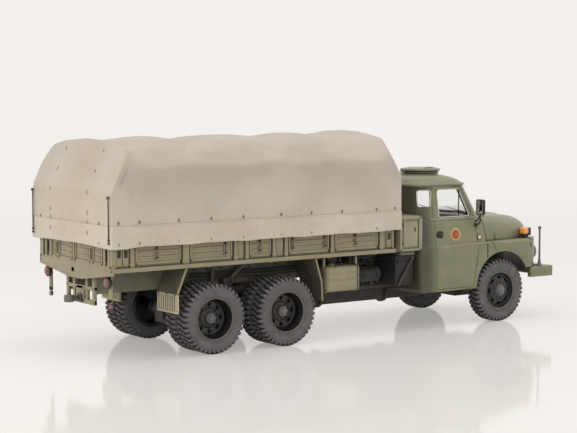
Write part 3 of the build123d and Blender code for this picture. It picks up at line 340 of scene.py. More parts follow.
# Painted highlight: the pale beads round the windows stand for the highlights on their edges
painted_highlight_white = plastic("gasket white", rgb(226, 224, 218), rgb(206, 204, 198), rough=0.45)
mirror_silver = steel("mirror silver", (0.82, 0.83, 0.84, 1), rough=0.05)
strap_webbing = plastic("strap webbing", rgb(174, 161, 142), rgb(158, 146, 129), rough=0.8, scale=5.0)
loop_brown = plastic("loop brown", rgb(132, 119, 105), rgb(112, 101, 89), rough=0.7, scale=5.0)
rod_brown = plastic("rod brown", rgb(86, 74, 62), rgb(66, 57, 48), rough=0.6, scale=5.0)

slots = {
    "tyre_rubber": tyre_rubber, "wheel_black": rim_black, "pin_steel": pin_steel,
    "underframe_black": chassis_black, "bed_khaki": bed_green, "cab_olive": cab_green,
    "tilt_canvas": tilt_canvas, "dark_trim": trim_black, "clear_glass": pane_glass,
    "cab_interior": cab_lining, "lamp_lens": lamp_glass, "amber_lens": amber,
    "repeater_lens": cream, "red_lens": ruby,
}


# Stage, camera and lights
# Half the floor's width in metres, and the distances in millimetres over which it turns into the backdrop
FLOOR_HALF = 6.0
FADE = (230.0, 900.0)
BACKDROP = rgb(243, 240, 237)
FLOOR_GLOW = rgb(243, 240, 236)
# The photograph's view: its aim and distance in millimetres, its angles in degrees
VIEW_AIM, VIEW_DISTANCE = (-8.96, 0, 44.35), 611.47
VIEW_TURN, VIEW_RISE = -35.23, 4.6
FOCAL_PX, PHOTO_W_PX = 1600.14, 577
SENSOR_W = 36.0
LAMP_COLOUR = (1.0, 0.98, 0.95)
# Soft lamps. Columns: name, place, aim and size in metres, watts, seen in glossy surfaces
LAMPS = (
    ("overhead", (-0.05, -0.05, 0.62), (0, 0, 0.03), (0.75, 0.5), 0.85, True),
    ("edge strip", (0.35, -0.05, 0.55), (0.35, -0.05, 0.0), (1.2, 0.07), 0.5, True),
    ("rear left", (-0.62, 0.1, 0.34), (0, 0, 0.04), (0.4, 0.4), 1.3, False),
    ("front right", (0.5, -0.5, 0.42), (0, 0, 0.03), (0.35, 0.35), 0.8, False),
    ("beside the camera", (-0.5, -0.75, 0.22), (0, 0, 0.02), (0.7, 0.4), 1.2, False),
)


def seen_by_camera(s):
    """1 for what the camera sees, straight, mirrored or through glass, and 0 for light on things."""
    path = s.node("LightPath").socket.node
    straight, mirrored, through = (Shade(s.tree, path.outputs[name]) for name in
                                   ("Is Camera Ray", "Is Glossy Ray", "Is Transmission Ray"))
    return s.math("MAXIMUM", s.math("MAXIMUM", straight, mirrored), through)


def build_floor():
    """A pale glossy table that fades into the backdrop."""
    floor = bpy.data.objects.new("floor", bpy.data.meshes.new("floor"))
    bpy.context.collection.objects.link(floor)
    corners = [(-FLOOR_HALF, -FLOOR_HALF, 0), (FLOOR_HALF, -FLOOR_HALF, 0),
               (FLOOR_HALF, FLOOR_HALF, 0), (-FLOOR_HALF, FLOOR_HALF, 0)]
    floor.data.from_pydata(corners, [], [(0, 1, 2, 3)])
    material, s, output = new_material("floor")
    spot = place_of(s)
    away = s.node("VectorMath", {"operation": "LENGTH"}, {0: spot}, out=1)
    grain = noise(s, spot, 0.02, 2.0)
    tone = grain.ramp(0.2, 0.8).blend(rgb(236, 233, 229), rgb(241, 238, 234))
    table = s.node("BsdfPrincipled", {}, {"Base Color": tone, "Roughness": 0.08, "Specular IOR Level": 0.4})
    seen = seen_by_camera(s)
    glow = s.node("Emission", {}, {"Color": FLOOR_GLOW, "Strength": 1.0})
    near = s.node("MixShader", {}, {0: seen * 0.36, 1: table, 2: glow})
    backdrop = s.node("Emission", {}, {"Color": BACKDROP, "Strength": 1.0})
    both = s.node("MixShader", {}, {0: away.ramp(*FADE) * seen, 1: near, 2: backdrop})
    s.tree.links.new(both.socket, output.inputs["Surface"])
    floor.data.materials.append(material)


def build_world():
    """A soft warm sky that lights the truck, and a plain pale backdrop where the camera sees it."""
    world = bpy.data.worlds.new("studio")
    bpy.context.scene.world = world
    world.use_nodes = True
    tree = world.node_tree
    tree.nodes.clear()
    s = Shade(tree)
    sky = s.node("Background", {}, {"Color": (1.0, 0.985, 0.965, 1), "Strength": 0.64})
    pale = s.node("Background", {}, {"Color": BACKDROP, "Strength": 1.0})
    both = s.node("MixShader", {}, {0: seen_by_camera(s), 1: sky, 2: pale})
    s.tree.links.new(both.socket, tree.nodes.new("ShaderNodeOutputWorld").inputs["Surface"])


def soft_box(name, place, aim, size, watts, mirrored):
    """A large soft lamp, seen in glossy surfaces if mirrored."""
    lamp = bpy.data.lights.new(name, "AREA")
    lamp.shape = "RECTANGLE"
    lamp.size, lamp.size_y = size
    lamp.energy = watts
    lamp.color = LAMP_COLOUR
    box = bpy.data.objects.new(name, lamp)
    bpy.context.collection.objects.link(box)
    box.location = place
    box.visible_glossy = mirrored
    box.rotation_euler = (Vector(aim) - Vector(place)).to_track_quat("-Z", "Y").to_euler()


def build_camera():
    """The photograph's view: from behind on the right, a little above the bed."""
    turn, rise = math.radians(VIEW_TURN), math.radians(VIEW_RISE)
    back = Vector((math.sin(turn) * math.cos(rise), -math.cos(turn) * math.cos(rise), math.sin(rise)))
    camera = bpy.data.objects.new("camera", bpy.data.cameras.new("camera"))
    bpy.context.collection.objects.link(camera)
    camera.location = Vector(VIEW_AIM) * MM + back * VIEW_DISTANCE * MM
    camera.rotation_euler = (-back).to_track_quat("-Z", "Y").to_euler()
    camera.data.sensor_width = SENSOR_W
    camera.data.lens = SENSOR_W * FOCAL_PX / PHOTO_W_PX
    camera.data.clip_start = 0.01
    bpy.context.scene.camera = camera


build_floor()
build_world()
build_camera()
for lamp_row in LAMPS:
    soft_box(*lamp_row)
bpy.context.scene.view_settings.view_transform = "Standard"


# Mesh making
AXES = {"x": (1, 2, 0), "y": (0, 2, 1), "z": (0, 1, 2)}


def spread(points, steps):
    """A smooth line through the points, with the given number of steps from each to the next."""
    ends = [2 * points[0] - points[1]] + list(points) + [2 * points[-1] - points[-2]]
    line = []
    for before, start, end, after in zip(ends, ends[1:], ends[2:], ends[3:]):
        for step in range(steps):
            t = step / steps
            line.append(0.5 * (2 * start + (end - before) * t
                               + (2 * before - 5 * start + 4 * end - after) * t * t
                               + (3 * start - 3 * end + after - before) * t * t * t))
    return line + [points[-1]]


def smooth_line(points, steps=6):
    """A smooth line through points given as plain tuples."""
    return [tuple(p) for p in spread([np.array(p, float) for p in points], steps)]


def round_corners(outline, radius, steps=5):
    """A closed outline with each corner rounded; radius is one number or one for each corner."""
    radii = radius if isinstance(radius, (list, tuple)) else [radius] * len(outline)
    points = [np.array(p, float) for p in outline]
    rounded = []
    for i, corner in enumerate(points):
        back, ahead = points[i - 1] - corner, points[(i + 1) % len(points)] - corner
        back_l, ahead_l = np.linalg.norm(back), np.linalg.norm(ahead)
        half = math.acos(max(-1, min(1, back @ ahead / (back_l * ahead_l)))) / 2
        run = min(radii[i] / math.tan(half), 0.48 * back_l, 0.48 * ahead_l)
        start, end = corner + back / back_l * run, corner + ahead / ahead_l * run
        for step in range(steps + 1):
            t = step / steps
            rounded.append(tuple((1 - t) ** 2 * start + 2 * t * (1 - t) * corner + t * t * end))
    return rounded


def quads(rows, count, wrap=True, closed=False, caps=False):
    """Faces of a skin through rows of count points.

    wrap closes each row, closed joins the last row to the first, caps fills the first and the last.
    """
    faces = []
    for row in range(rows if closed else rows - 1):
        after = (row + 1) % rows
        for i in range(count if wrap else count - 1):
            ahead = (i + 1) % count
            faces.append([row * count + i, row * count + ahead, after * count + ahead, after * count + i])
    if caps:
        last = (rows - 1) * count
        faces += [list(range(count))[::-1], list(range(last, last + count))]
    return faces


class Form:
    """A mesh put together from worked shapes in millimetres, and made into one piece at the end."""

    def __init__(self):
        self.bm = bmesh.new()

    def raw(self, points, faces):
        """Plain points and the faces between them."""
        made = [self.bm.verts.new(p) for p in points]
        for face in faces:
            self.bm.faces.new([made[i] for i in face])
        return made

    def skin(self, points, faces):
        """Points and faces, with the faces turned outwards."""
        made = self.raw(points, faces)
        bmesh.ops.recalc_face_normals(self.bm, faces=list({f for v in made for f in v.link_faces}))
        return made

    def soften(self, edges, width, steps=2):
        """Round edges over."""
        if width > 0:
            bmesh.ops.bevel(self.bm, geom=edges, offset=width, offset_type="OFFSET", segments=steps,
                            profile=0.5, affect="EDGES", clamp_overlap=True)

    def box(self, low, high, edge=0.15, steps=2):
        """A box between two corners, with its edges rounded."""
        made = bmesh.ops.create_cube(self.bm, size=1.0)["verts"]
        low, high = np.minimum(low, high), np.maximum(low, high)
        for vert in made:
            vert.co = [a + (c + 0.5) * (b - a) for a, b, c in zip(low, high, vert.co)]
        edges = list({e for v in made for e in v.link_edges})
        self.soften(edges, min(edge, 0.4 * float(min(high - low))), steps)

    def prism(self, outline, axis, start, end, edge=0.15, steps=2):
        """An outline seen along an axis, drawn out from start to end, with the rims of its ends rounded."""
        first, second, third = AXES[axis]
        points = []
        for depth in (start, end):
            for a, b in outline:
                point = [0.0, 0.0, 0.0]
                point[first], point[second], point[third] = a, b, depth
                points.append(point)
        count = len(outline)
        made = self.skin(points, quads(2, count, caps=True))
        rims = {e for v in made for e in v.link_edges}
        if count > 4:
            rims = {e for e in rims if any(len(f.verts) == count for f in e.link_faces)}
        self.soften(list(rims), edge, steps)

    def rod(self, start, end, r, sides=20, edge=0.0):
        """A round bar between two points."""
        start, end = Vector(start), Vector(end)
        turn = (end - start).to_track_quat("Z", "Y").to_matrix().to_4x4()
        made = bmesh.ops.create_cone(
            self.bm, cap_ends=True, segments=sides, radius1=r, radius2=r, depth=(end - start).length,
            matrix=Matrix.Translation((start + end) / 2) @ turn)["verts"]
        ends = {f for v in made for f in v.link_faces if len(f.verts) > 4}
        self.soften(list({e for f in ends for e in f.edges}), edge)

    def lathe(self, profile, centre, axis="y", sides=48, hand=1, closed=False):
        """A profile of (radius, place along the axis) turned about the axis; hand -1 turns it over."""
        first, second, third = AXES[axis]
        points = []
        for r, along in profile:
            for side in range(sides):
                angle = 2 * math.pi * side / sides
                point = list(centre)
                point[first] += r * math.cos(angle)
                point[second] += r * math.sin(angle)
                point[third] += hand * along
                points.append(point)
        made = self.raw(points, quads(len(profile), sides, closed=closed))
        bmesh.ops.remove_doubles(self.bm, verts=made, dist=1e-5)
        alive = [v for v in made if v.is_valid]
        bmesh.ops.recalc_face_normals(self.bm, faces=list({f for v in alive for f in v.link_faces}))

    def tube(self, path, r, sides=10, smooth=6):
        """A round bar along a smooth line through the given points."""
        line = [Vector(p) for p in (smooth_line(path, smooth) if smooth else path)]
        points = []
        normal = None
        for i, spot in enumerate(line):
            run = (line[min(i + 1, len(line) - 1)] - line[max(i - 1, 0)]).normalized()
            if normal is None:
                normal = run.orthogonal().normalized()
            normal = (normal - run * normal.dot(run)).normalized()
            aside = run.cross(normal)
            for side in range(sides):
                angle = 2 * math.pi * side / sides
                points.append(spot + (normal * math.cos(angle) + aside * math.sin(angle)) * r)
        self.raw(points, quads(len(line), sides, caps=True))

    def ball(self, centre, r):
        bmesh.ops.create_uvsphere(self.bm, u_segments=20, v_segments=12, radius=r,
                                  matrix=Matrix.Translation(centre))

    def grid(self, rows, wrap=False, caps=False):
        """A skin through rows of points; wrap closes each row, caps closes the first and last."""
        points = [p for row in rows for p in row]
        self.skin(points, quads(len(rows), len(rows[0]), wrap, caps=caps))

    def flip(self):
        """Turn the form over to the other side of the truck."""
        for vert in self.bm.verts:
            vert.co.y = -vert.co.y
        bmesh.ops.reverse_faces(self.bm, faces=self.bm.faces[:])

    def blank(self, name):
        """The form as a bare object, to be worked on or used as a cutter."""
        mesh = bpy.data.meshes.new(name)
        self.bm.to_mesh(mesh)
        self.bm.free()
        mesh.transform(Matrix.Scale(MM, 4))
        made = bpy.data.objects.new(name, mesh)
        bpy.context.collection.objects.link(made)
        return made

    def piece(self, name, material, body="truck", stands_for=(), slot=None, angle=38):
        """The finished piece, riding on its body and standing for the given solids."""
        return dress(self.blank(name), material, body, stands_for, slot, angle)


def dress(made, material, body="truck", stands_for=(), slot=None, angle=38):
    """Shade a piece, give it its finish, tie it to its body, and hide the solids it stands for."""
    made.data.materials.clear()
    made.data.materials.append(material)
    made.data.shade_smooth()
    made.data.set_sharp_from_angle(angle=math.radians(angle))
    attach(made, body)
    if stands_for:
        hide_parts(*stands_for)
    slot = slot or next((key for key, value in slots.items() if value is material), None)
    return made


def settled(made):
    """A piece with its modifiers worked into its mesh."""
    shown = made.evaluated_get(bpy.context.evaluated_depsgraph_get())
    mesh = bpy.data.meshes.new_from_object(shown)
    made.modifiers.clear()
    made.data = mesh


# Edges of a solid that turn by more than this are rounded over, and flatter ones than the other are removed
SHARP_TURN, FLAT_TURN = math.radians(32), math.radians(1.0)


def softened(name, width, material):
    """A copy of a solid's own shape with its edges rounded over."""
    form = Form()
    bm = form.bm
    bm.from_mesh(nodes[name].data)
    bmesh.ops.scale(bm, vec=(1 / MM,) * 3, verts=bm.verts[:])
    bmesh.ops.remove_doubles(bm, verts=bm.verts[:], dist=0.002)
    bmesh.ops.dissolve_limit(bm, angle_limit=FLAT_TURN, verts=bm.verts[:], edges=bm.edges[:])
    sharp = [e for e in bm.edges if len(e.link_faces) == 2 and e.calc_face_angle(0) > SHARP_TURN]
    form.soften(sharp, width)
    form.piece(name + "_finished", material, stands_for=[name])


# Wheels
TYRE_R = 12.5
TYRE_HALF_W = 3.15
LUG_COUNT = 40
# Share of the pitch that a lug takes up, and how much narrower it is above this radius
LUG_SHARE = 0.6
LUG_TOP_SHARE, LUG_TOP_R = 0.86, 12.2
TWIN_STEP = 7.8
RIM_INSET = 0.5
BOLT_COUNT = 10

# Half of a tyre's section from the bead to the crown. Columns: radius, distance from the middle
TYRE_SECTION = (
    (7.35, 2.1), (7.45, 2.5), (7.75, 2.68), (8.05, 2.7), (8.2, 2.86), (8.5, 2.9), (8.65, 2.82),
    (9.3, 3.0),
    (9.9, 3.1), (10.5, 3.12), (11.0, 3.08), (11.35, 2.96), (11.6, 2.7), (11.78, 2.2), (11.84, 1.4),
    (11.85, 0.4),
)
# Section of a shoulder lug, with the same columns
LUG_SECTION = (
    (11.5, 0.62), (12.4, 0.7), (TYRE_R, 0.82), (12.48, 2.3), (12.34, 2.72), (12.0, 2.98), (11.6, 3.14),
    (11.25, 3.16), (11.05, 3.0), (11.5, 2.2),
)
# Section of a block of the tread's middle row
CROWN_SECTION = ((11.5, -0.42), (12.4, -0.4), (TYRE_R, -0.3), (TYRE_R, 0.3), (12.4, 0.4), (11.5, 0.42))


def lug(form, section, centre, angle, width, hand):
    """One tread block about an axle, narrower at its top."""
    points = []
    for way in (-0.5, 0.5):
        for r, aside in section:
            lean = LUG_TOP_SHARE if r > LUG_TOP_R else 1.0
            turn = angle + way * width * lean * TYRE_R / r
            points.append((centre[0] + r * math.cos(turn), centre[1] + hand * aside,
                           centre[2] + r * math.sin(turn)))
    form.skin(points, quads(2, len(section), caps=True))


def tyre(form, centre, turn):
    """A tyre with two staggered rows of shoulder lugs and a row of blocks between them."""
    section = list(TYRE_SECTION) + [(r, -aside) for r, aside in reversed(TYRE_SECTION)]
    form.lathe(section, centre, sides=96, closed=True)
    pitch = 2 * math.pi / LUG_COUNT
    for nth in range(LUG_COUNT):
        for hand, lag in ((1, 0.0), (-1, 0.5)):
            lug(form, LUG_SECTION, centre, turn + (nth + lag) * pitch, pitch * LUG_SHARE, hand)
        lug(form, CROWN_SECTION, centre, turn + (nth + 0.25) * pitch, pitch * LUG_SHARE, 1)


def pierced_ring(form, centre, hand, inner, outer, reach, count, hole, depth):
    """A flat ring of a wheel disc with a hole in each sector.

    inner and outer are (radius, place along the axle), reach is half a hole's size as (radial share,
    share of the sector), hole is the hole's middle as a share of the ring, depth is the disc's thickness.
    """
    steps = 24
    sector = 2 * math.pi / count

    def spot(along, around, sink=0.0):
        r = inner[0] + (outer[0] - inner[0]) * along
        lift = inner[1] + (outer[1] - inner[1]) * along - sink
        return (centre[0] + r * math.cos(around), centre[1] + hand * lift, centre[2] + r * math.sin(around))

    for nth in range(count):
        mid = nth * sector
        border, rim, floor = [], [], []
        for step in range(steps):
            angle = 2 * math.pi * step / steps
            c, s = math.cos(angle), math.sin(angle)
            stretch = min((1 - hole if c > 0 else hole) / max(abs(c), 1e-6), 0.5 / max(abs(s), 1e-6))
            border.append(spot(hole + c * stretch, mid + s * stretch * sector))
            rim.append(spot(hole + c * reach[0], mid + s * reach[1] * sector))
            floor.append(spot(hole + c * reach[0] * 0.9, mid + s * reach[1] * sector * 0.9, depth))
        form.grid([border, rim, floor], wrap=True)


def wheel_bolts(form, centre, hand, ring_r, lift, size):
    """A ring of nuts with their studs."""
    nut = [(0, 0), (size, 0), (size, size * 0.8), (size * 0.7, size), (0, size)]
    stud = [(size * 0.42, size), (size * 0.42, size * 1.5), (0, size * 1.6)]
    for nth in range(BOLT_COUNT):
        angle = 2 * math.pi * nth / BOLT_COUNT
        at = (centre[0] + ring_r * math.cos(angle), centre[1] + hand * lift,
              centre[2] + ring_r * math.sin(angle))
        form.lathe(nut, at, sides=6, hand=hand)
        form.lathe(stud, at, sides=8, hand=hand)


def rim_lip(form, centre, hand):
    """The rolled lip of a rim, drawn with the hubs in their lighter grey as a painted highlight along the
    rim's edge.
    """
    form.lathe([(7.34, -0.5), (7.62, -0.3), (7.66, -0.05), (7.5, 0.13), (7.3, 0.12), (7.12, -0.04),
                (7.1, -0.3)], centre, sides=72, hand=hand, closed=True)


def rear_rim(form, hubs, x, z, face_y, hand):
    """Deep-dished outer rim of a twin wheel, its hub, and the rim of the inner wheel."""
    centre = (x, hand * (face_y - RIM_INSET), z)
    dish = -4.4
    rim_lip(hubs, centre, hand)
    form.lathe([(7.32, -5.6), (7.38, -0.6), (7.3, -0.1), (7.1, -0.1), (6.95, -0.4), (6.8, -1.2),
                (6.55, -1.5), (6.45, -2.6), (6.3, dish + 0.7), (5.95, dish + 0.25), (5.75, dish + 0.1)],
               centre, sides=72, hand=hand)
    pierced_ring(form, centre, hand, (3.7, dish - 0.05), (5.75, dish + 0.1), (0.38, 0.27), 8, 0.52, 0.9)
    form.lathe([(3.7, dish - 0.05), (3.5, dish + 0.2), (3.35, dish + 0.28), (2.3, dish + 0.34)], centre,
               sides=48, hand=hand)
    hubs.lathe([(2.45, dish + 0.2), (2.35, dish + 0.4), (2.2, dish + 0.5), (2.0, dish + 1.7),
                (1.75, dish + 1.95), (1.2, dish + 2.0), (1.1, dish + 2.25), (0.9, dish + 2.35),
                (0, dish + 2.35)], centre, sides=48, hand=hand)
    wheel_bolts(hubs, centre, hand, 2.85, dish + 0.3, 0.34)
    form.lathe([(5.75, dish - 0.9), (5.2, dish - 0.9), (3.2, dish - 0.9), (2.3, dish - 0.9), (2.3, -13.6),
                (0, -13.6)], centre, sides=40, hand=hand)
    inner = (x, hand * (face_y - RIM_INSET - TWIN_STEP), z)
    form.lathe([(6.7, 0.0), (7.4, 0.1), (7.6, -0.1), (7.38, -0.5), (7.32, -5.2), (7.6, -5.7), (7.4, -5.9),
                (6.7, -5.8), (6.5, -5.0), (6.4, -2.0), (2.3, -1.6), (2.3, -0.8), (6.5, -0.9)], inner,
               sides=64, hand=hand, closed=True)


def front_rim(form, hubs, x, z, face_y, hand):
    """Front rim with a bulged disc, long hand holes and a stepped hub."""
    centre = (x, hand * (face_y - RIM_INSET), z)
    rim_lip(hubs, centre, hand)
    form.lathe([(7.32, -5.4), (7.38, -0.6), (7.3, -0.1), (7.1, -0.1), (6.95, -0.35),
                (6.75, -0.9), (6.5, -1.25), (6.25, -1.3), (6.05, -1.1)], centre, sides=72, hand=hand)
    pierced_ring(form, centre, hand, (4.0, -0.15), (6.05, -1.1), (0.27, 0.3), 8, 0.55, 0.9)
    form.lathe([(4.0, -0.15), (3.75, 0.0), (3.55, -0.02), (3.4, -0.2), (2.4, -0.25)], centre, sides=48,
               hand=hand)
    hubs.lathe([(2.5, -0.4), (2.5, -0.2), (2.3, -0.1), (2.2, 0.5),
                (2.0, 0.62), (1.75, 0.62), (1.65, 0.95), (1.4, 1.1), (0.6, 1.18), (0, 1.18)],
               centre, sides=48, hand=hand)
    wheel_bolts(hubs, centre, hand, 2.95, -0.22, 0.34)
    form.lathe([(6.05, -2.0), (4.0, -1.2), (2.6, -1.2), (2.6, -5.8), (0, -5.8)], centre, sides=40,
               hand=hand)


def axle_x(axle):
    """Place of an axle along the truck."""
    low, high = node_mm(axle + "_axle_pin")
    return (low[0] + high[0]) / 2


def build_wheels():
    """Tyres and rims of the three axles, each set riding on its own axle."""
    for axle in ("front", "mid", "rear"):
        x, face_y = axle_x(axle), node_mm(axle + "_tyres")[1][1]
        tyres, rims, hubs = Form(), Form(), Form()
        for hand in (-1, 1):
            for twin in range(1 if axle == "front" else 2):
                centre = (x, hand * (face_y - TYRE_HALF_W - twin * TWIN_STEP), TYRE_R)
                tyre(tyres, centre, dice.uniform(0, 2 * math.pi))
            (front_rim if axle == "front" else rear_rim)(rims, hubs, x, TYRE_R, face_y, hand)
        tyres.piece(axle + "_tyres_lugged", tyre_rubber, axle + "_axle", [axle + "_tyres"])
        rims.piece(axle + "_rims_pressed", rim_black, axle + "_axle", [axle + "_rims"])
        # The hubs' piece holds the rim lips too; their lighter grey is a painted highlight on the rims' edges
        hubs.piece(axle + "_hubs_and_rim_lips", hub_grey, axle + "_axle", slot="wheel_black")


build_wheels()


# Tilt cover
TILT_LOW, TILT_HIGH = node_mm("tilt_cover")
HEM_Z = TILT_LOW[2]
CREST_Z = TILT_HIGH[2]
TILT_HALF_W = TILT_HIGH[1]
EAVE_Z = 66.5
KINK_Z = 58.7
SEAM_Z = 47.1
# The rear panel leans forward above the kink by this much for each millimetre of height
REAR_SLOPE = 0.492
# Outline of the front end above the kink: heights, and the place of the canvas at each
FRONT_Z = (58.5, 60.0, 62.5, 65.5, 68.0, 70.0, 77.0)
FRONT_X = (23.1, 22.9, 21.5, 19.5, 18.1, 17.75, 17.6)
# Creases of the canvas. Columns: place on the sides, how far forward it bows over the middle of the roof
CREASES = ((-95.0, 10.0), (-68.6, 8.0), (-32.2, 10.0), (-7.0, 8.0), (30.0, 0.0))
BOW_HALF_W = 23.0
# A shorter crease on the shoulders only: its place, its half width and its depth beside a full one
SIDE_CREASE = (-41.2, 3.2, 0.75)
# Both end hoops hold the canvas in a squarer arch: their places, and how far inwards each is felt
REAR_HOOP_X, REAR_HOOP_REACH = -95.0, 4.0
FRONT_HOOP_X, FRONT_HOOP_REACH = 17.4, 7.0
# Outlines of the two hoops: distances from the middle, and heights
REAR_HOOP_Y = (0.0, 10.0, 16.0, 21.5, 26.0, 27.2, 28.4, 30.0)
REAR_HOOP_Z = (76.2, 75.95, 75.5, 74.6, 73.4, 72.0, 69.9, 65.5)
FRONT_HOOP_Y = (0.0, 10.0, 16.0, 21.5, 24.2, 27.2, 28.8, 30.0)
FRONT_HOOP_Z = (77.2, 76.8, 76.1, 75.1, 74.6, 71.4, 69.4, 67.0)
# Section of the roof seen from behind: distances from the middle, and heights
ARCH_Y = (0.0, 10.0, 15.0, 23.0, 26.5, 30.0)
ARCH_Z = (76.2, 75.8, 75.2, 73.2, 70.4, 66.5)
# Rows of the skin follow the roof's section above this height
DRAWN_Z = 58.0
# The sides stand in by FLARE below the first height, and are full above the second
FLARE, FLARE_Z = 0.4, (59.5, 65.5)
# Ahead of the rear edge the sides turn in: depth, how far it deepens, where it ends, and its heights
FOLD, FOLD_FULL, FOLD_END = 0.75, 2.3, 2.9
FOLD_LOW_Z, FOLD_HIGH_Z = (58.5, 61.5), (68.0, 71.0)
# Depth of a full crease on the sides, which ends at CREASE_LOW_Z, and over the roof
WALL_DIP, CREASE_LOW_Z, ROOF_DIP = 0.5, 57.0, 1.7
# The shoulder: which way it faces (across, up), its width, and how far creases sink in it and rise outside
SHOULDER, SHOULDER_W = (0.686, 0.728), 7.9
SHOULDER_DIP, SHOULDER_LIFT = 2.4, 0.8
# The roof falls off with the square of the distance from the middle
ROOF_FALL = 0.0062
# Places along the roof, and how far its crest stands over the solid's there
CREST_RISE = ((-80.0, -40.0, 10.0), (0.1, 0.3, 0.6))
# Halvings in the search for the canvas, which settle it far below a micrometre
HALVINGS = 46
# Places of the lashing loops along the sides
LOOPS_X = (-99.4, -91.3, -75.8, -62.6, -49.2, -32.9, -19.5, -5.6, 10.6, 19.4)
# Columns of tie straps on the rear panel, and their heights
TIE_COLUMNS_Y = (15.2, -12.4)
TIE_HEIGHTS = (43.9, 47.6, 50.8, 57.9, 64.9, 71.9)


def ease(value, low, high):
    """0 below low, 1 above high, and a soft step between."""
    t = np.clip((value - low) / (high - low), 0, 1)
    return t * t * (3 - 2 * t)


def outer_of(first, second, blend):
    """The larger of two fields, rounded over where they meet."""
    h = np.clip(0.5 + 0.5 * (first - second) / blend, 0, 1)
    return second * (1 - h) + first * h + blend * h * (1 - h)


def crease_at(x, aside):
    """1 on a crease of the canvas, falling along an arc to 0 where it stands fullest between two of them."""
    over = np.clip(1 - (aside / BOW_HALF_W) ** 2, 0, 1)
    dip = np.ones_like(over + x)
    for (first, first_bow), (second, second_bow) in zip(CREASES, CREASES[1:]):
        start, end = first + first_bow * over, second + second_bow * over
        inside = (x > start) & (x < end)
        dip = np.where(inside, (2 * (x - start) / (end - start) - 1) ** 2, dip)
    place, half_w, depth = SIDE_CREASE
    beside = depth * np.exp(-((x - place) / half_w) ** 2) * ease(aside, 14.0, 24.0)
    return np.maximum(dip, beside)


def rear_lean_at(x, z):
    """How far a point lies behind the leaning part of the rear panel."""
    return (TILT_LOW[0] - x + (z - KINK_Z) * REAR_SLOPE) / math.hypot(1.0, REAR_SLOPE)


def tilt_field(x, y, z):
    """How far a point lies outside the tilt: negative inside, zero on the canvas."""
    aside = np.abs(y)
    at_rear = 1 - ease(x, REAR_HOOP_X, REAR_HOOP_X + REAR_HOOP_REACH)
    at_front = ease(x, FRONT_HOOP_X - FRONT_HOOP_REACH, FRONT_HOOP_X)
    hoop = at_rear + at_front
    dip = crease_at(x, aside) * (1 - hoop)
    lean = rear_lean_at(x, z)
    turned_in = FOLD * np.clip(-lean / FOLD_FULL, 0, 1) * (1 - ease(-lean, FOLD_FULL, FOLD_END))
    fold = turned_in * ease(z, *FOLD_LOW_Z) * (1 - ease(z, *FOLD_HIGH_Z))
    flare = FLARE * (1 - ease(z, *FLARE_Z))
    wall = aside - TILT_HALF_W + flare + WALL_DIP * dip * ease(z, CREASE_LOW_Z, EAVE_Z) + fold

    inside = np.clip((TILT_HALF_W - aside) / SHOULDER_W, 0, 1.1)
    drawn = dip * (SHOULDER_DIP * inside - SHOULDER_LIFT)
    shoulder = SHOULDER[0] * (aside - TILT_HALF_W) + SHOULDER[1] * (z - EAVE_Z) + drawn
    crest = CREST_Z + np.interp(x, *CREST_RISE)
    roof = z - (crest - ROOF_DIP * dip - ROOF_FALL * aside ** 2)
    bay = outer_of(wall, outer_of(shoulder, roof, 1.0 + 1.0 * dip), 0.8 + 0.9 * dip)

    rear_arch = np.interp(aside, REAR_HOOP_Y, REAR_HOOP_Z)
    front_arch = np.interp(aside, FRONT_HOOP_Y, FRONT_HOOP_Z)
    hooped = outer_of(wall, 0.6 * (z - np.where(x < 0, rear_arch, front_arch)), 0.6)

    body = bay * (1 - hoop) + hooped * hoop
    rear = outer_of(TILT_LOW[0] - x, lean, 0.4)
    front = 0.8 * (x - np.interp(z, FRONT_Z, FRONT_X))
    return outer_of(outer_of(body, front, 0.9), rear, 0.45)


def drawn_in(points):
    """Box points moved near the tilt's own edges, so that the rows of the skin follow them."""
    x, y, z = points.T
    arch = np.interp(np.abs(y), ARCH_Y, ARCH_Z)
    z = np.where(z > DRAWN_Z, DRAWN_Z + (z - DRAWN_Z) * (arch - DRAWN_Z) / (CREST_Z - DRAWN_Z), z)
    share = (x - TILT_LOW[0]) / (TILT_HIGH[0] - TILT_LOW[0])
    rear = TILT_LOW[0] + np.maximum(z - KINK_Z, 0) * REAR_SLOPE
    front = np.interp(z, FRONT_Z, FRONT_X)
    return np.stack([rear + share * (front - rear), y, z], axis=1)


def box_skin(xs, ys, zs):
    """Points and faces of an open-bottomed box ruled along the given lines."""
    index, points, faces = {}, [], []

    def at(x, y, z):
        key = (round(x, 4), round(y, 4), round(z, 4))
        if key not in index:
            index[key] = len(points)
            points.append((x, y, z))
        return index[key]

    def sheet(us, vs, put):
        for u0, u1 in zip(us, us[1:]):
            for v0, v1 in zip(vs, vs[1:]):
                faces.append([at(*put(u0, v0)), at(*put(u1, v0)), at(*put(u1, v1)), at(*put(u0, v1))])

    sheet(xs, zs, lambda u, v: (u, ys[0], v))
    sheet(xs[::-1], zs, lambda u, v: (u, ys[-1], v))
    sheet(ys[::-1], zs, lambda u, v: (xs[0], u, v))
    sheet(ys, zs, lambda u, v: (xs[-1], u, v))
    sheet(xs, ys, lambda u, v: (u, v, zs[-1]))
    return np.array(points), faces


def found_skin(points):
    """Box points moved onto the canvas, each along a line from the inside of the tilt."""
    core = np.stack([np.clip(points[:, 0], TILT_LOW[0] + 22, TILT_HIGH[0] - 22), np.zeros(len(points)),
                     np.minimum(points[:, 2], 56.0)], axis=1)
    run = points - core
    near, far = np.zeros(len(points)), np.full(len(points), 1.35)
    for _ in range(HALVINGS):
        middle = (near + far) / 2
        spot = core + run * middle[:, None]
        out = tilt_field(*spot.T) > 0
        far, near = np.where(out, middle, far), np.where(out, near, middle)
    return core + run * near[:, None]


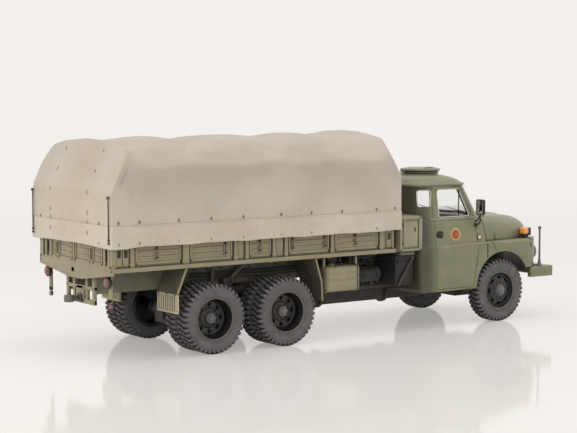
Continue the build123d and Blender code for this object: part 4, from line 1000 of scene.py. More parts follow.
def canvas_slope(skin):
    """The way that the canvas faces at each of its points."""
    steps = np.eye(3) * 0.02
    slope = np.stack([tilt_field(*(skin + step).T) - tilt_field(*(skin - step).T) for step in steps],
                     axis=1)
    return slope / np.linalg.norm(slope, axis=1)[:, None]


def rumpled(skin):
    """The skin with soft folds, swollen seam and hem, and a hem that sags."""
    x, y, z = skin.T
    low = 1 - ease(z, HEM_Z, 62.0)
    round_x = x + 0.55 * y
    folds = (np.sin(0.21 * round_x + 1.3) + 0.6 * np.sin(0.47 * round_x + 0.4 * np.sin(0.05 * z * z / 10))
             + 0.35 * np.sin(1.13 * round_x + 2.0))
    corner = np.exp(-((x - TILT_LOW[0]) / 9.0) ** 2) * ease(np.abs(y), 18, 29)
    swell = 0.07 * folds * low + 0.22 * corner * np.sin(1.25 * (x - TILT_LOW[0]) + 0.3) * low
    swell += 0.09 * np.sin(0.33 * x + 0.5) * np.sin(0.37 * y + 0.2) * ease(z, 66, 70)
    swell += 0.16 * (1 - ease(z, SEAM_Z - 0.12, SEAM_Z)) - 0.1 * np.exp(-((z - SEAM_Z - 0.06) / 0.12) ** 2)
    swell += 0.12 * np.exp(-((z - HEM_Z - 0.6) / 0.5) ** 2) - 0.16
    sag = 0.11 * np.sin(0.235 * round_x + 0.8) + 0.07 * np.sin(0.52 * round_x) - 0.1
    droop = -0.45 * np.exp(-((x - TILT_LOW[0]) ** 2 + (np.abs(y) - TILT_HALF_W) ** 2) / 60.0)
    moved = skin + canvas_slope(skin) * swell[:, None]
    moved[:, 2] += (sag + droop) * (1 - ease(z, HEM_Z, HEM_Z + 4.0))
    moved[:, 2] = np.maximum(moved[:, 2], HEM_Z - 0.5)
    return moved


def build_tilt():
    """The canvas as one skin: drawn over the hoops, upright sides, leaning ends, a wavy hem."""
    xs = np.linspace(TILT_LOW[0], TILT_HIGH[0], 206)
    ys = np.linspace(-TILT_HALF_W, TILT_HALF_W, 84)
    hem_rows = [HEM_Z, HEM_Z + 0.25, HEM_Z + 0.9, HEM_Z + 1.1]
    seam_rows = [SEAM_Z - 0.35, SEAM_Z - 0.1, SEAM_Z, SEAM_Z + 0.12]
    zs = np.unique(np.round(np.concatenate([
        hem_rows, seam_rows, np.linspace(HEM_Z + 1.9, SEAM_Z - 1.0, 6),
        np.linspace(SEAM_Z + 0.9, CREST_Z, 35)]), 4))
    points, faces = box_skin(list(xs), list(ys), list(zs))
    form = Form()
    form.skin([tuple(p) for p in rumpled(found_skin(drawn_in(points)))], faces)
    cover = form.piece("tilt_canvas_cover", tilt_canvas, stands_for=["tilt_cover"], angle=60)
    thick = cover.modifiers.new("wall thickness", "SOLIDIFY")
    thick.thickness = 0.7 * MM
    thick.offset = -1
    settled(cover)
    cover.data.shade_smooth()
    cover.data.set_sharp_from_angle(angle=math.radians(60))


def canvas_at(put, near, far):
    """Where the canvas lies between a place inside the tilt and one outside; put makes a place a point."""
    for _ in range(HALVINGS):
        middle = (near + far) / 2
        if tilt_field(*(np.array(v) for v in put(middle))) > 0:
            far = middle
        else:
            near = middle
    return near


def wall_y(x, z):
    """Half width of the tilt at a place on its side."""
    return canvas_at(lambda y: (x, y, z), 20.0, 32.0)


def end_x(y, z):
    """Place of the rear panel at a spot seen from behind."""
    return canvas_at(lambda x: (x, y, z), -60.0, -106.0)


def loop_mark(form, at, out, size):
    """A lashing loop: a small ring that stands on a strap."""
    at, out = Vector(at), Vector(out).normalized()
    aside = out.cross(Vector((0, 0, 1))).normalized()
    up = Vector((0, 0, 1))
    ring = []
    for step in range(17):
        angle = 2 * math.pi * step / 16
        ring.append(at + out * 0.12 + aside * (math.cos(angle) * size * 0.55) + up * (math.sin(angle) * size))
    form.tube([tuple(p) for p in ring], 0.12, sides=6, smooth=0)


def build_tilt_fittings():
    """Lashing loops along the seam and hem, tie straps on the rear panel, and stitching."""
    loops, straps, stitches = Form(), Form(), Form()
    for hand in (-1, 1):
        for x in LOOPS_X:
            for z, size in ((SEAM_Z + 1.0, 0.46), (HEM_Z + 1.1, 0.4)):
                y = wall_y(x, z) - 0.1
                loop_mark(loops, (x, hand * y, z), (0, hand, 0), size)
        x = TILT_LOW[0] + 4.0
        while x < TILT_HIGH[0] - 2.0:
            y = wall_y(x, SEAM_Z - 0.5) + 0.02
            stitches.box((x, hand * (y - 0.1), SEAM_Z - 0.52),
                         (x + 0.55, hand * (y + 0.06), SEAM_Z - 0.42), edge=0.03)
            x += 0.95
    for y in TIE_COLUMNS_Y:
        for z in TIE_HEIGHTS:
            x = end_x(y, z)
            lean = 0.0 if z < KINK_Z else 0.7
            straps.tube([(x - 0.1, y - 0.12, z - 0.75), (x - 0.26 + 0.3 * lean, y + 0.02, z),
                         (x - 0.06 + 0.75 * lean, y + 0.1, z + 0.7)], 0.15, sides=6, smooth=3)
    for y in (-20.5, 23.0):
        for z in (HEM_Z + 1.1, SEAM_Z + 0.6):
            loop_mark(loops, (end_x(y, z) + 0.1, y, z), (-1, 0, 0), 0.4)
    loops.piece("tilt_lashing_loops", loop_brown, slot="dark_trim")
    straps.piece("tilt_tie_straps", strap_webbing, slot="tilt_canvas")
    stitches.piece("tilt_seam_stitches", strap_webbing, slot="tilt_canvas")


def build_lacing_rods():
    """Thin dark rods down the rear corners, each with a knob on top and a smaller one near its foot."""
    low, high = node_mm("lacing_rods")
    form = Form()
    x = (low[0] + high[0]) / 2 + 0.3
    y = high[1] - 0.75
    for hand in (-1, 1):
        form.rod((x, hand * y, low[2]), (x, hand * y, high[2] - 0.5), 0.22, sides=12)
        form.ball((x - 0.1, hand * y, high[2] - 0.6), 0.55)
        form.ball((x, hand * y, low[2] + 1.6), 0.42)
        form.lathe([(0.2, 0.0), (0.42, 0.05), (0.42, 0.5), (0.2, 0.6)], (x, hand * y, low[2]), axis="z",
                   sides=12)
    form.piece("lacing_rods_knobbed", rod_brown, stands_for=["lacing_rods"])


build_tilt()
build_tilt_fittings()
build_lacing_rods()


# Load bed
BOARD_LOW, BOARD_TOP = 32.5, 46.0
# Half widths at the inner and outer face of the boards' plain sheet, and over the sills
BOARD_IN_Y, BOARD_OUT_Y, BED_HALF_W = 25.2, 26.1, 27.0
BED_REAR, BED_FRONT = -100.6, 22.0
SIDE_REAR, SIDE_FRONT = -99.9, 21.3
TAIL_X = -100.3
SILL_LOW = 30.95
# Stakes of a side: place along the bed, width
STAKES = ((-92.5, 1.7), (-71.2, 2.6), (-50.5, 1.5), (-45.7, 1.5), (-34.0, 1.4), (-28.7, 1.4), (-7.8, 1.6),
          (15.5, 2.2))
# Pressed panels between the stakes, and those of the tailboard: start, end
PANELS = ((-91.2, -73.0), (-69.4, -51.8), (-44.5, -35.2), (-27.4, -9.2), (-6.4, 13.8))
TAIL_PANELS = ((-19.9, -13.6), (-11.6, -0.6), (1.8, 11.7), (13.7, 17.7))
PANEL_LOW, PANEL_TOP = 33.1, 45.7
RIB_HEIGHTS = (35.6, 37.6, 39.6, 41.6)
# Places of the latches along the sides, and of the slots in the corners (start, end)
LATCHES = (-82.8, -54.8, -40.1, -25.7, -11.2, 3.0)
CORNER_SLOTS = ((-98.2, -96.9), (-95.6, -94.3), (18.4, 19.8))
# Places of the lashing hooks under the sills, and the line of one: along from its place, half width, height
HOOKS_X = (-88, -62, -36, -10, 12)
HOOK = ((-0.8, 26.95, 31.5), (-0.6, 27.08, 31.0), (0.0, 27.0, 30.97), (0.6, 27.08, 31.0),
        (0.8, 26.95, 31.5))
# Middle of a tail lamp and of a reflector: place along the truck, height; and how far out both are
TAIL_LAMP_AT, REFLECTOR_AT, LAMP_Y = (-99.05, 27.4), (-98.6, 19.2), 22.2


def panel_bars(start, end, upright, foot, head):
    """The four bars round a pressed panel, each as (start, end, low, high)."""
    return ((start, end, PANEL_LOW, PANEL_LOW + foot), (start, end, PANEL_TOP - head, PANEL_TOP),
            (start, start + upright, PANEL_LOW, PANEL_TOP), (end - upright, end, PANEL_LOW, PANEL_TOP))


def build_side_boards(side):
    """One side of the bed, left or right: pressed panels, stakes, latches and capped corners."""
    form, dark = Form(), Form()
    form.box((SIDE_REAR, BOARD_IN_Y, BOARD_LOW), (SIDE_FRONT, BOARD_OUT_Y, BOARD_TOP), edge=0.12)
    for x0, x1 in PANELS:
        for start, end, low, high in panel_bars(x0, x1, 0.75, 1.0, 1.1):
            form.box((start, 25.9, low), (end, 26.32, high), edge=0.18)
        for z in RIB_HEIGHTS:
            form.box((x0 + 1.3, 25.65, z - 0.4), (x1 - 1.3, 26.35, z + 0.4), edge=0.22, steps=3)
    for x, w in STAKES:
        half = w / 2
        form.box((x - half, 25.6, 31.4), (x + half, 26.72, 45.9), edge=0.2)
        form.box((x - half - 0.25, 25.6, 33.0), (x + half + 0.25, 26.55, 34.0), edge=0.12)
        for way in (-1, 1):
            dark.box((x + way * (half + 0.14), 25.8, 32.7), (x + way * (half + 0.5), 26.16, 45.6),
                     edge=0.05)
    for x in LATCHES:
        form.box((x - 0.6, 25.9, 34.6), (x + 0.6, 26.55, 38.4), edge=0.15)
        dark.rod((x, 26.4, 35.4), (x, 26.4, 38.9), 0.28, sides=10)
        dark.ball((x, 26.45, 38.9), 0.38)
        dark.box((x - 0.45, 26.3, 35.0), (x + 0.45, 26.78, 35.7), edge=0.1)
    for x0, x1 in CORNER_SLOTS:
        form.box((x0 - 0.5, 25.7, 33.0), (x1 + 0.5, 26.4, PANEL_TOP), edge=0.16)
        dark.box((x0, 26.2, 36.0), (x1, 26.46, 38.6), edge=0.05)
    form.box((BED_REAR, BOARD_IN_Y, BOARD_LOW), (-98.8, 26.75, BOARD_TOP), edge=0.2)
    form.box((20.3, BOARD_IN_Y, BOARD_LOW), (SIDE_FRONT, 26.6, BOARD_TOP), edge=0.2)
    form.box((SIDE_REAR, 25.1, 45.2), (SIDE_FRONT, 26.4, BOARD_TOP), edge=0.2)
    if side == "right":
        form.flip()
        dark.flip()
    form.piece(side + "_side_boards_pressed", bed_green, stands_for=[side + "_side_boards"])
    dark.piece(side + "_side_board_latches", trim_black)


def build_bed_floor():
    """Bed floor with its sill channels, bearers and lashing hooks."""
    form = Form()
    form.box((BED_REAR + 0.2, -26.9, 31.5), (BED_FRONT - 0.1, 26.9, 32.45), edge=0.15)
    for y in (-8.5, 8.5):
        form.box((-97.0, y - 1.4, 29.4), (21.0, y + 1.4, 31.6), edge=0.15)
    for hand in (-1, 1):
        form.box((BED_REAR, hand * 26.2, SILL_LOW), (BED_FRONT, hand * 27.1, BOARD_LOW), edge=0.25, steps=3)
        form.box((BED_REAR, hand * 25.4, SILL_LOW), (BED_FRONT, hand * BED_HALF_W, 31.3), edge=0.12)
        for x in range(-96, 21, 9):
            form.box((x, hand * 9.0, SILL_LOW), (x + 1.5, hand * 26.0, 31.9), edge=0.12)
        for x in HOOKS_X:
            form.tube([(x + along, hand * y, z) for along, y, z in HOOK], 0.15, sides=6, smooth=3)
    for x0, x1 in ((TAIL_X, BED_REAR + 0.9), (BED_FRONT - 0.9, BED_FRONT)):
        form.box((x0, -BED_HALF_W, SILL_LOW), (x1, BED_HALF_W, BOARD_LOW), edge=0.25)
    form.piece("bed_floor_with_sills", bed_green, stands_for=["bed_floor"])


def build_tailboard():
    """Tailboard with pressed panels, posts, hinges and latches."""
    form, dark = Form(), Form()
    x = TAIL_X
    form.box((x, -BOARD_IN_Y, BOARD_LOW), (-98.7, BOARD_IN_Y, BOARD_TOP), edge=0.12)
    for y0, y1 in TAIL_PANELS:
        for start, end, low, high in panel_bars(y0, y1, 0.7, 0.9, 1.0):
            form.box((x - 0.3, start, low), (x + 0.2, end, high), edge=0.15)
        for z in RIB_HEIGHTS:
            form.box((x - 0.28, y0 + 1.2, z - 0.4), (x + 0.2, y1 - 1.2, z + 0.4), edge=0.2)
    for y in (-24.6, -21.7, -12.6, 0.6, 12.7, 18.4, 21.8, 24.6):
        form.box((x - 0.4, y - 0.7, BOARD_LOW), (x + 0.2, y + 0.7, 45.9), edge=0.18)
        dark.box((x - 0.16, y - 1.2, 32.8), (x + 0.1, y - 0.82, 45.5), edge=0.05)
    for y in (-22.9, -12.6, 12.7, 20.0):
        dark.rod((x - 0.35, y, 35.0), (x - 0.35, y, 38.6), 0.28, sides=10)
        dark.box((x - 0.4, y - 0.5, 34.6), (x, y + 0.5, 35.4), edge=0.1)
    for y in (-18.0, -6.0, 6.0, 18.0):
        form.rod((x - 0.1, y - 1.2, 32.75), (x - 0.1, y + 1.2, 32.75), 0.3, sides=12)
    form.piece("tailboard_pressed", bed_green, stands_for=["tailboard"])
    dark.piece("tailboard_latches", trim_black)


def build_headboard():
    """Headboard with ribs along it and posts."""
    form = Form()
    form.box((20.3, -BOARD_IN_Y, BOARD_LOW), (21.2, BOARD_IN_Y, BOARD_TOP), edge=0.12)
    for z in (34.6, 37.4, 40.2, 43.0):
        form.box((21.0, -24.0, z - 0.6), (21.5, 24.0, z + 0.6), edge=0.2)
    for y in (-24.6, -12.2, 0.0, 12.2, 24.6):
        form.box((20.2, y - 0.6, BOARD_LOW), (21.45, y + 0.6, BOARD_TOP), edge=0.15)
    form.piece("headboard_ribbed", bed_green, stands_for=["headboard"])


def build_rear_sill():
    """V plate under the tailboard, with a small dark socket."""
    form, dark = Form(), Form()
    half = [(4.4, 27.1), (BED_HALF_W, 30.1), (BED_HALF_W, 33.3)]
    form.prism([(-y, z) for y, z in reversed(half)] + half, "x", BED_REAR, -99.7, edge=0.12)
    form.piece("rear_sill_plate_folded", bed_green, stands_for=["rear_sill_plate"])
    dark.box((-100.6, 0.4, 29.2), (-100.2, 2.4, 30.8), edge=0.08)
    dark.piece("rear_sill_plate_socket", trim_black)


def build_tow():
    """Bolted tow frame, and the tow bar with its ring."""
    tow, bar = Form(), Form()
    low, high = node_mm("tow_plate")
    for z0, z1 in ((low[2], low[2] + 1.7), (23.2, 24.6), (high[2] - 1.9, high[2])):
        tow.box((low[0], low[1], z0), (high[0], high[1], z1), edge=0.2)
    for y in (-9.6, -4.6, 4.6, 9.6):
        tow.box((low[0] + 0.05, y - 0.8, low[2]), (high[0], y + 0.8, high[2]), edge=0.2)
    tow.box((low[0], -3.0, low[2] + 0.2), (high[0], 3.0, 24.4), edge=0.2)
    for y in (-9.6, -2.4, 2.4, 9.6):
        for z in (19.1, 23.9, 28.5):
            tow.rod((low[0] + 0.2, y, z), (low[0] - 0.22, y, z), 0.34, sides=6)
    tow.piece("tow_frame_bolted", bed_green, stands_for=["tow_plate"])
    low, high = node_mm("tow_bar")
    z = (low[2] + high[2]) / 2
    bar.box((low[0] + 2.4, -1.0, z - 1.0), (high[0], 1.0, z + 1.0), edge=0.25)
    eye = [(0.62, -1.0), (0.62, 1.0), (0.75, 1.2), (1.6, 1.2), (1.78, 1.0), (1.78, -1.0), (1.6, -1.2),
           (0.75, -1.2)]
    bar.lathe(eye, (low[0] + 1.8, 0, z), axis="z", sides=28, closed=True)
    bar.box((high[0] - 0.9, -1.8, low[2]), (high[0], 1.8, high[2]), edge=0.2)
    bar.piece("tow_bar_ringed", hub_grey, stands_for=["tow_bar"])


def build_tail_lamps():
    """Lamp stems with a tail lamp in a dark shell and a reflector on each."""
    stems, lamps, shells, reflectors = Form(), Form(), Form(), Form()
    low, high = node_mm("lamp_boards")
    shell = [(1.0, 0.0), (1.85, -0.05), (2.0, -0.3), (2.0, -1.0), (1.84, -1.1), (1.72, -0.95), (1.0, -0.9)]
    dome = [(1.74, -0.8), (1.74, -1.1), (1.5, -1.5), (0.9, -1.74), (0.0, -1.8)]
    disc = [(0.9, 0.5), (0.9, -0.3), (0.78, -0.45), (0.5, -0.4), (0.0, -0.45)]
    for y in (-LAMP_Y, LAMP_Y):
        stems.box((low[0] + 0.1, y - 0.9, low[2] + 0.1), (high[0], y + 0.9, high[2]), edge=0.18)
        stems.box((low[0] + 0.1, y - 0.9, low[2]), (high[0] - 0.1, y + 0.9, low[2] + 1.6), edge=0.18)
        stems.box((low[0] + 0.1, y - 0.9, 26.2), (high[0], y + 0.9, 28.6), edge=0.2)
        lamp_at = (TAIL_LAMP_AT[0], y, TAIL_LAMP_AT[1])
        shells.lathe(shell, lamp_at, axis="x", sides=32, closed=True)
        lamps.lathe(dome, lamp_at, axis="x", sides=32)
        disc_at = (REFLECTOR_AT[0], y, REFLECTOR_AT[1])
        reflectors.lathe(disc, disc_at, axis="x", sides=24)
        reflectors.lathe([(0.0, 0.45), (0.9, 0.45)], disc_at, axis="x", sides=24)
    stems.piece("lamp_stems", bed_green, stands_for=["lamp_boards"])
    shells.piece("tail_lamp_shells", trim_black)
    lamps.piece("tail_lamp_lenses", ruby, stands_for=["tail_lamps"])
    reflectors.piece("reflector_discs", ruby, stands_for=["reflectors"])


for bed_side in ("right", "left"):
    build_side_boards(bed_side)
build_bed_floor()
build_tailboard()
build_headboard()
build_rear_sill()
build_tow()
build_tail_lamps()


# Cab
# Sections of the cab body. Columns: height, half width, rear, front, rear corner radius, front corner radius
CAB_SECTIONS = (
    (14.2, 26.5, 34.9, 69.0, 2.2, 1.0), (14.7, 27.0, 34.65, 69.0, 2.4, 1.0),
    (15.6, 27.2, 34.6, 69.0, 2.6, 1.0),
    (22.0, 27.2, 34.6, 69.0, 3.5, 1.0), (30.2, 27.2, 34.6, 69.0, 5.0, 1.0),
    (31.0, 27.18, 34.6, 69.0, 5.2, 1.0),
    (31.5, 27.05, 34.6, 69.0, 5.4, 1.0), (32.1, 26.6, 34.6, 69.0, 5.6, 1.0),
    (32.7, 26.38, 34.6, 69.0, 5.8, 1.0),
    (36.5, 26.1, 34.6, 69.0, 6.6, 1.5), (40.2, 25.8, 34.6, 69.0, 7.6, 2.0),
    (41.2, 25.55, 34.6, 68.7, 7.9, 2.4),
    (41.9, 25.1, 34.6, 67.4, 8.1, 3.2), (42.5, 24.8, 34.6, 66.7, 8.2, 3.8),
    (46.0, 24.3, 34.85, 65.1, 8.4, 4.0),
    (50.0, 23.7, 35.15, 63.1, 8.5, 4.0), (55.5, 22.9, 35.6, 60.3, 8.5, 4.0),
)
# The roof above its gutter, with the same columns
ROOF_SECTIONS = (
    (55.15, 23.2, 35.0, 60.9, 8.6, 5.4), (55.2, 23.6, 34.5, 61.4, 8.8, 5.6),
    (55.5, 23.8, 34.4, 61.5, 9.0, 5.7),
    (55.9, 23.8, 34.4, 61.5, 9.0, 5.7), (56.1, 23.55, 34.6, 61.3, 8.8, 5.6),
    (56.2, 23.1, 35.0, 60.8, 8.5, 5.6),
    (56.35, 22.95, 35.2, 60.5, 8.4, 5.6), (57.0, 22.5, 35.7, 59.7, 8.2, 5.8),
    (57.8, 21.6, 36.7, 58.5, 8.0, 6.0),
    (58.5, 20.2, 38.1, 56.6, 7.6, 5.8), (59.05, 18.2, 40.0, 54.8, 7.0, 5.4),
    (59.4, 15.2, 42.3, 52.6, 5.0, 4.6),
    (59.6, 10.5, 45.0, 50.4, 2.6, 2.6),
)
CAB_WALL = 1.2
DOOR = ((42.45, 15.3), (61.3, 15.3), (64.0, 31.0), (62.9, 42.4), (57.4, 54.6), (42.45, 54.6))
DOOR_R = (1.2, 1.2, 3.0, 1.5, 1.2, 1.6)
DOOR_GAP = 0.16
# Outlines of the panes, as seen from the side, the front, behind, and square to the rounded corner
SIDE_PANE = round_corners([(45.2, 43.1), (60.95, 43.1), (56.2, 53.8), (45.2, 53.8)], [0.9, 0.7, 0.9, 1.6])
SCREEN_PANE = round_corners([(-19.6, 43.6), (19.6, 43.6), (18.8, 54.2), (-18.8, 54.2)], 2.2)
BACK_PANE = round_corners([(-9.0, 46.0), (9.0, 46.0), (9.0, 53.8), (-9.0, 53.8)], 1.6)
CORNER_PANE = round_corners([(-2.7, 47.4), (2.7, 47.4), (2.7, 53.7), (-2.7, 53.7)], 1.1)
# Lean of the windscreen and of the back window: heights, and the place along the truck at each
SCREEN_LEAN = ((42.5, 55.5), (66.7, 60.3))
BACK_LEAN = ((42.5, 55.5), (34.6, 35.6))
CORNER_AT = (39.3, 22.45)
CORNER_TURN = math.radians(24)
ARCH_AT = (77.2, 14.2)
ARCH_R = 14.2
# Floor and ceiling of the cab's hollow
INSIDE_Z = (13.0, 55.0)
# Discs of the doors are made flat this far out and then laid on the doors
FLAT_Y = 100.0
BADGE_AT = (52.6, 36.2)


def plan(half_w, rear, front, rear_r, front_r, steps=8):
    """Outline of the cab seen from above, as points (x, y)."""
    corners = [(rear, -half_w), (front, -half_w), (front, half_w), (rear, half_w)]
    return round_corners(corners, [rear_r, front_r, front_r, rear_r], steps)


def shell_form(sections, inset=0.0, low=None, high=None):
    """A closed solid through plan sections, drawn in by inset."""
    form = Form()
    rows = []
    for z, half_w, rear, front, rear_r, front_r in sections:
        outline = plan(half_w - inset, rear + inset, front - inset, max(rear_r - inset, 0.4),
                       max(front_r - inset, 0.4))
        rows.append([(x, y, z) for x, y in outline])
    if low is not None:
        rows[0] = [(x, y, low) for x, y, _ in rows[0]]
    if high is not None:
        rows[-1] = [(x, y, high) for x, y, _ in rows[-1]]
    form.grid(rows, wrap=True, caps=True)
    return form


def carve(made, cutters, operation="DIFFERENCE"):
    """Cut a piece by others, one after the other, and put the cutters away."""
    for cutter in cutters:
        cut = made.modifiers.new("cut", "BOOLEAN")
        cut.operation = operation
        cut.solver = "EXACT"
        cut.object = cutter
        settled(made)
    for cutter in cutters:
        bpy.data.objects.remove(cutter)
    return made


def slab(outline, axis, start, end):
    """A cutter: an outline drawn out along an axis."""
    form = Form()
    form.prism(outline, axis, start, end, edge=0)
    return form.blank("cutter")


def corner_slab(hand):
    """Cutter of a corner window, set square to the rounded corner."""
    form = Form()
    points = [corner_point(hand, u, v, depth) for depth in (-4.0, 4.0) for u, v in CORNER_PANE]
    form.skin(points, quads(2, len(CORNER_PANE), caps=True))
    return form.blank("cutter")


def corner_point(hand, u, v, depth):
    """A spot on a corner window: u along it, v up, depth outwards."""
    c, s = math.cos(CORNER_TURN), math.sin(CORNER_TURN)
    return (CORNER_AT[0] + u * c - depth * s, hand * (CORNER_AT[1] + u * s + depth * c), v)


def arch_slab():
    """Cutter of the front wheel arches."""
    outline = [(ARCH_AT[0] + ARCH_R * math.cos(a), ARCH_AT[1] + ARCH_R * math.sin(a))
               for a in np.linspace(0, 2 * math.pi, 97)[:-1]]
    return slab(outline, "y", -40, 40)


def cab_hollow():
    """Cutter of the cab's inside."""
    return shell_form(CAB_SECTIONS, CAB_WALL, *INSIDE_Z).blank("inside")


def build_cab_body():
    """The hollow cab with its windows cut, both doors in their openings, and the roof."""
    middle = np.mean(np.array(DOOR), axis=0)
    opening = [tuple(np.array(p) + np.sign(np.array(p) - middle) * DOOR_GAP) for p in DOOR]
    body = shell_form(CAB_SECTIONS).blank("cab_shell_pressed")
    cutters = [cab_hollow(), arch_slab(), slab(SCREEN_PANE, "x", 50, 80), slab(BACK_PANE, "x", 25, 44)]
    cutters += [corner_slab(hand) for hand in (-1, 1)]
    cutters += [slab(round_corners(opening, DOOR_R), "y", hand * 15, hand * 35) for hand in (-1, 1)]
    carve(body, cutters)
    dress(body, cab_green, stands_for=["cab_shell"], angle=30)

    for hand, side in ((-1, "right"), (1, "left")):
        door = shell_form(CAB_SECTIONS).blank(side + "_door_pressed")
        carve(door, [slab(round_corners(DOOR, DOOR_R), "y", hand * 15, hand * 35)], "INTERSECT")
        carve(door, [cab_hollow(), slab(SIDE_PANE, "y", hand * 10, hand * 35), arch_slab()])
        dress(door, cab_green, stands_for=[side + "_door"], angle=30)

    shell_form(ROOF_SECTIONS).piece("cab_roof_domed", cab_green, angle=50)


def side_y(z):
    """Half width of the cab at a height."""
    return float(np.interp(z, [s[0] for s in CAB_SECTIONS], [s[1] for s in CAB_SECTIONS]))


def lay_on_side(form):
    """Move a form made flat at FLAT_Y onto the leaning side of the cab."""
    for vert in form.bm.verts:
        lift = abs(vert.co.y) - FLAT_Y
        vert.co.y = math.copysign(side_y(vert.co.z) + lift, vert.co.y)


def closed_tube(form, points, r, sides=8):
    """A round bead along a closed line."""
    form.tube(points + points[:2], r, sides=sides, smooth=0)


def build_gaskets():
    """Beads round the windows, pale outside as a painted highlight on the window edges, dark round the
    windscreen, and the vent bars.
    """
    white, dark = Form(), Form()
    for hand in (-1, 1):
        closed_tube(white, [(x, hand * side_y(z), z) for x, z in SIDE_PANE], 0.17)
        bar_y = side_y(48.5)
        dark.box((56.3, hand * (bar_y - 0.7), 43.3), (56.55, hand * (bar_y - 0.2), 53.7), edge=0.08)
        inner = [(x * 0.985 + 0.79, hand * (side_y(z) - 0.32), z * 0.98 + 0.97) for x, z in SIDE_PANE]
        closed_tube(dark, inner, 0.12)
        closed_tube(white, [corner_point(hand, u, v, 0.62) for u, v in CORNER_PANE], 0.17)
    closed_tube(dark, [(float(np.interp(z, *SCREEN_LEAN)) + 0.02, y, z) for y, z in SCREEN_PANE], 0.3)
    closed_tube(white, [(float(np.interp(z, *BACK_LEAN)) - 0.02, y, z) for y, z in BACK_PANE], 0.26)
    white.piece("window_gaskets_pale", painted_highlight_white, slot="clear_glass")
    dark.piece("window_gaskets_dark", trim_black)


def build_door_fittings():
    """Handle recesses, drawn as dark patches of painted shade, and handles, badge discs, hinges and side
    repeaters.
    """
    dark, handles, red, yellow, hinges, lamps = Form(), Form(), Form(), Form(), Form(), Form()
    rim = [(0, -0.3), (2.45, -0.3), (2.45, 0.06), (2.3, 0.12), (1.95, 0.12), (1.95, -0.3)]
    disc = [(0, -0.3), (1.98, -0.3), (1.98, 0.09), (1.85, 0.12), (0, 0.12)]
    recess = round_corners([(42.95, 34.3), (46.3, 34.3), (46.3, 37.8), (42.95, 37.8)], 0.8)
    ring = [(0, -0.2), (1.15, -0.2), (1.15, 0.22), (0.95, 0.3), (0.8, 0.25)]
    dome = [(0.88, 0.1), (0.88, 0.3), (0.75, 0.52), (0.45, 0.64), (0, 0.68)]
    low, high = node_mm("side_repeaters")
    lamp_x, lamp_z = (low[0] + high[0]) / 2, (low[2] + high[2]) / 2
    for hand in (-1, 1):
        y = side_y(36.0)
        # Painted shade: a dark patch where the handle's recess lies in shade
        dark.prism(recess, "y", hand * (y - 0.4), hand * (y + 0.06), edge=0.05)
        handles.box((43.2, hand * y, 35.75), (45.7, hand * (y + 0.62), 36.5), edge=0.22)
        handles.box((43.2, hand * (y - 0.1), 35.6), (44.0, hand * (y + 0.45), 36.65), edge=0.15)
        handles.rod((45.3, hand * y, 35.2), (45.3, hand * (y + 0.22), 35.2), 0.26, sides=12)
        yellow.lathe(rim, (BADGE_AT[0], hand * FLAT_Y, BADGE_AT[1]), sides=48, hand=hand)
        red.lathe(disc, (BADGE_AT[0], hand * FLAT_Y, BADGE_AT[1]), sides=48, hand=hand)
        for x, z in ((62.9, 24.5), (63.2, 37.2)):
            y = side_y(z)
            hinges.rod((x + 0.55, hand * (y + 0.1), z - 1.1), (x + 0.55, hand * (y + 0.1), z + 1.1), 0.34,
                       sides=14, edge=0.08)
            hinges.box((x - 0.9, hand * (y - 0.2), z - 0.7), (x + 1.6, hand * (y + 0.12), z + 0.7),
                       edge=0.12)
        lamp_at = (lamp_x, hand * side_y(lamp_z), lamp_z)
        dark.lathe(ring, lamp_at, sides=28, hand=hand)
        lamps.lathe(dome, lamp_at, sides=28, hand=hand)
    for badge in (yellow, red):
        lay_on_side(badge)
    dark.piece("door_recesses_and_repeater_rings", trim_black)
    handles.piece("door_handles_cast", trim_black, stands_for=["door_handles"])
    yellow.piece("door_badge_rims", badge_yellow, slot="amber_lens")
    red.piece("door_badge_discs", badge_red, slot="red_lens")
    hinges.piece("door_hinges", cab_green)
    lamps.piece("side_repeater_lenses", cream, stands_for=["side_repeaters"])


def build_belt_beads():
    """Beads along the sides, below the windows and where the fender line runs on, lighter as a painted
    highlight, and the door linings, pale as painted light.
    """
    beads, cards = Form(), Form()
    for hand in (-1, 1):
        sill = [(40.6, -0.3), (41.6, -0.05), (50.0, 0.0), (59.0, 0.0), (62.2, -0.1), (63.0, -0.4)]
        beads.tube([(x, hand * (side_y(42.35) + out), 42.35) for x, out in sill], 0.42, sides=12, smooth=4)
        fade = [(44.6, -0.5, 31.1), (48.0, -0.18, 31.5), (52.0, -0.05, 31.85), (62.0, 0.0, 31.95),
                (68.8, 0.0, 31.95)]
        beads.tube([(x, hand * (side_y(z) + out), z) for x, out, z in fade], 0.36, sides=12, smooth=4)
        cards.box((44.0, hand * 23.2, 34.0), (62.0, hand * 25.0, 40.5), edge=0.3, steps=3)
        cards.box((44.0, hand * 23.2, 39.0), (62.0, hand * 23.95, 42.7), edge=0.3, steps=3)
        cards.box((46.0, hand * 22.8, 37.5), (60.0, hand * 23.4, 38.9), edge=0.25, steps=3)
    beads.piece("cab_belt_beads", painted_light_green)
    cards.piece("door_lining_cards", pale_lining, slot="cab_interior")


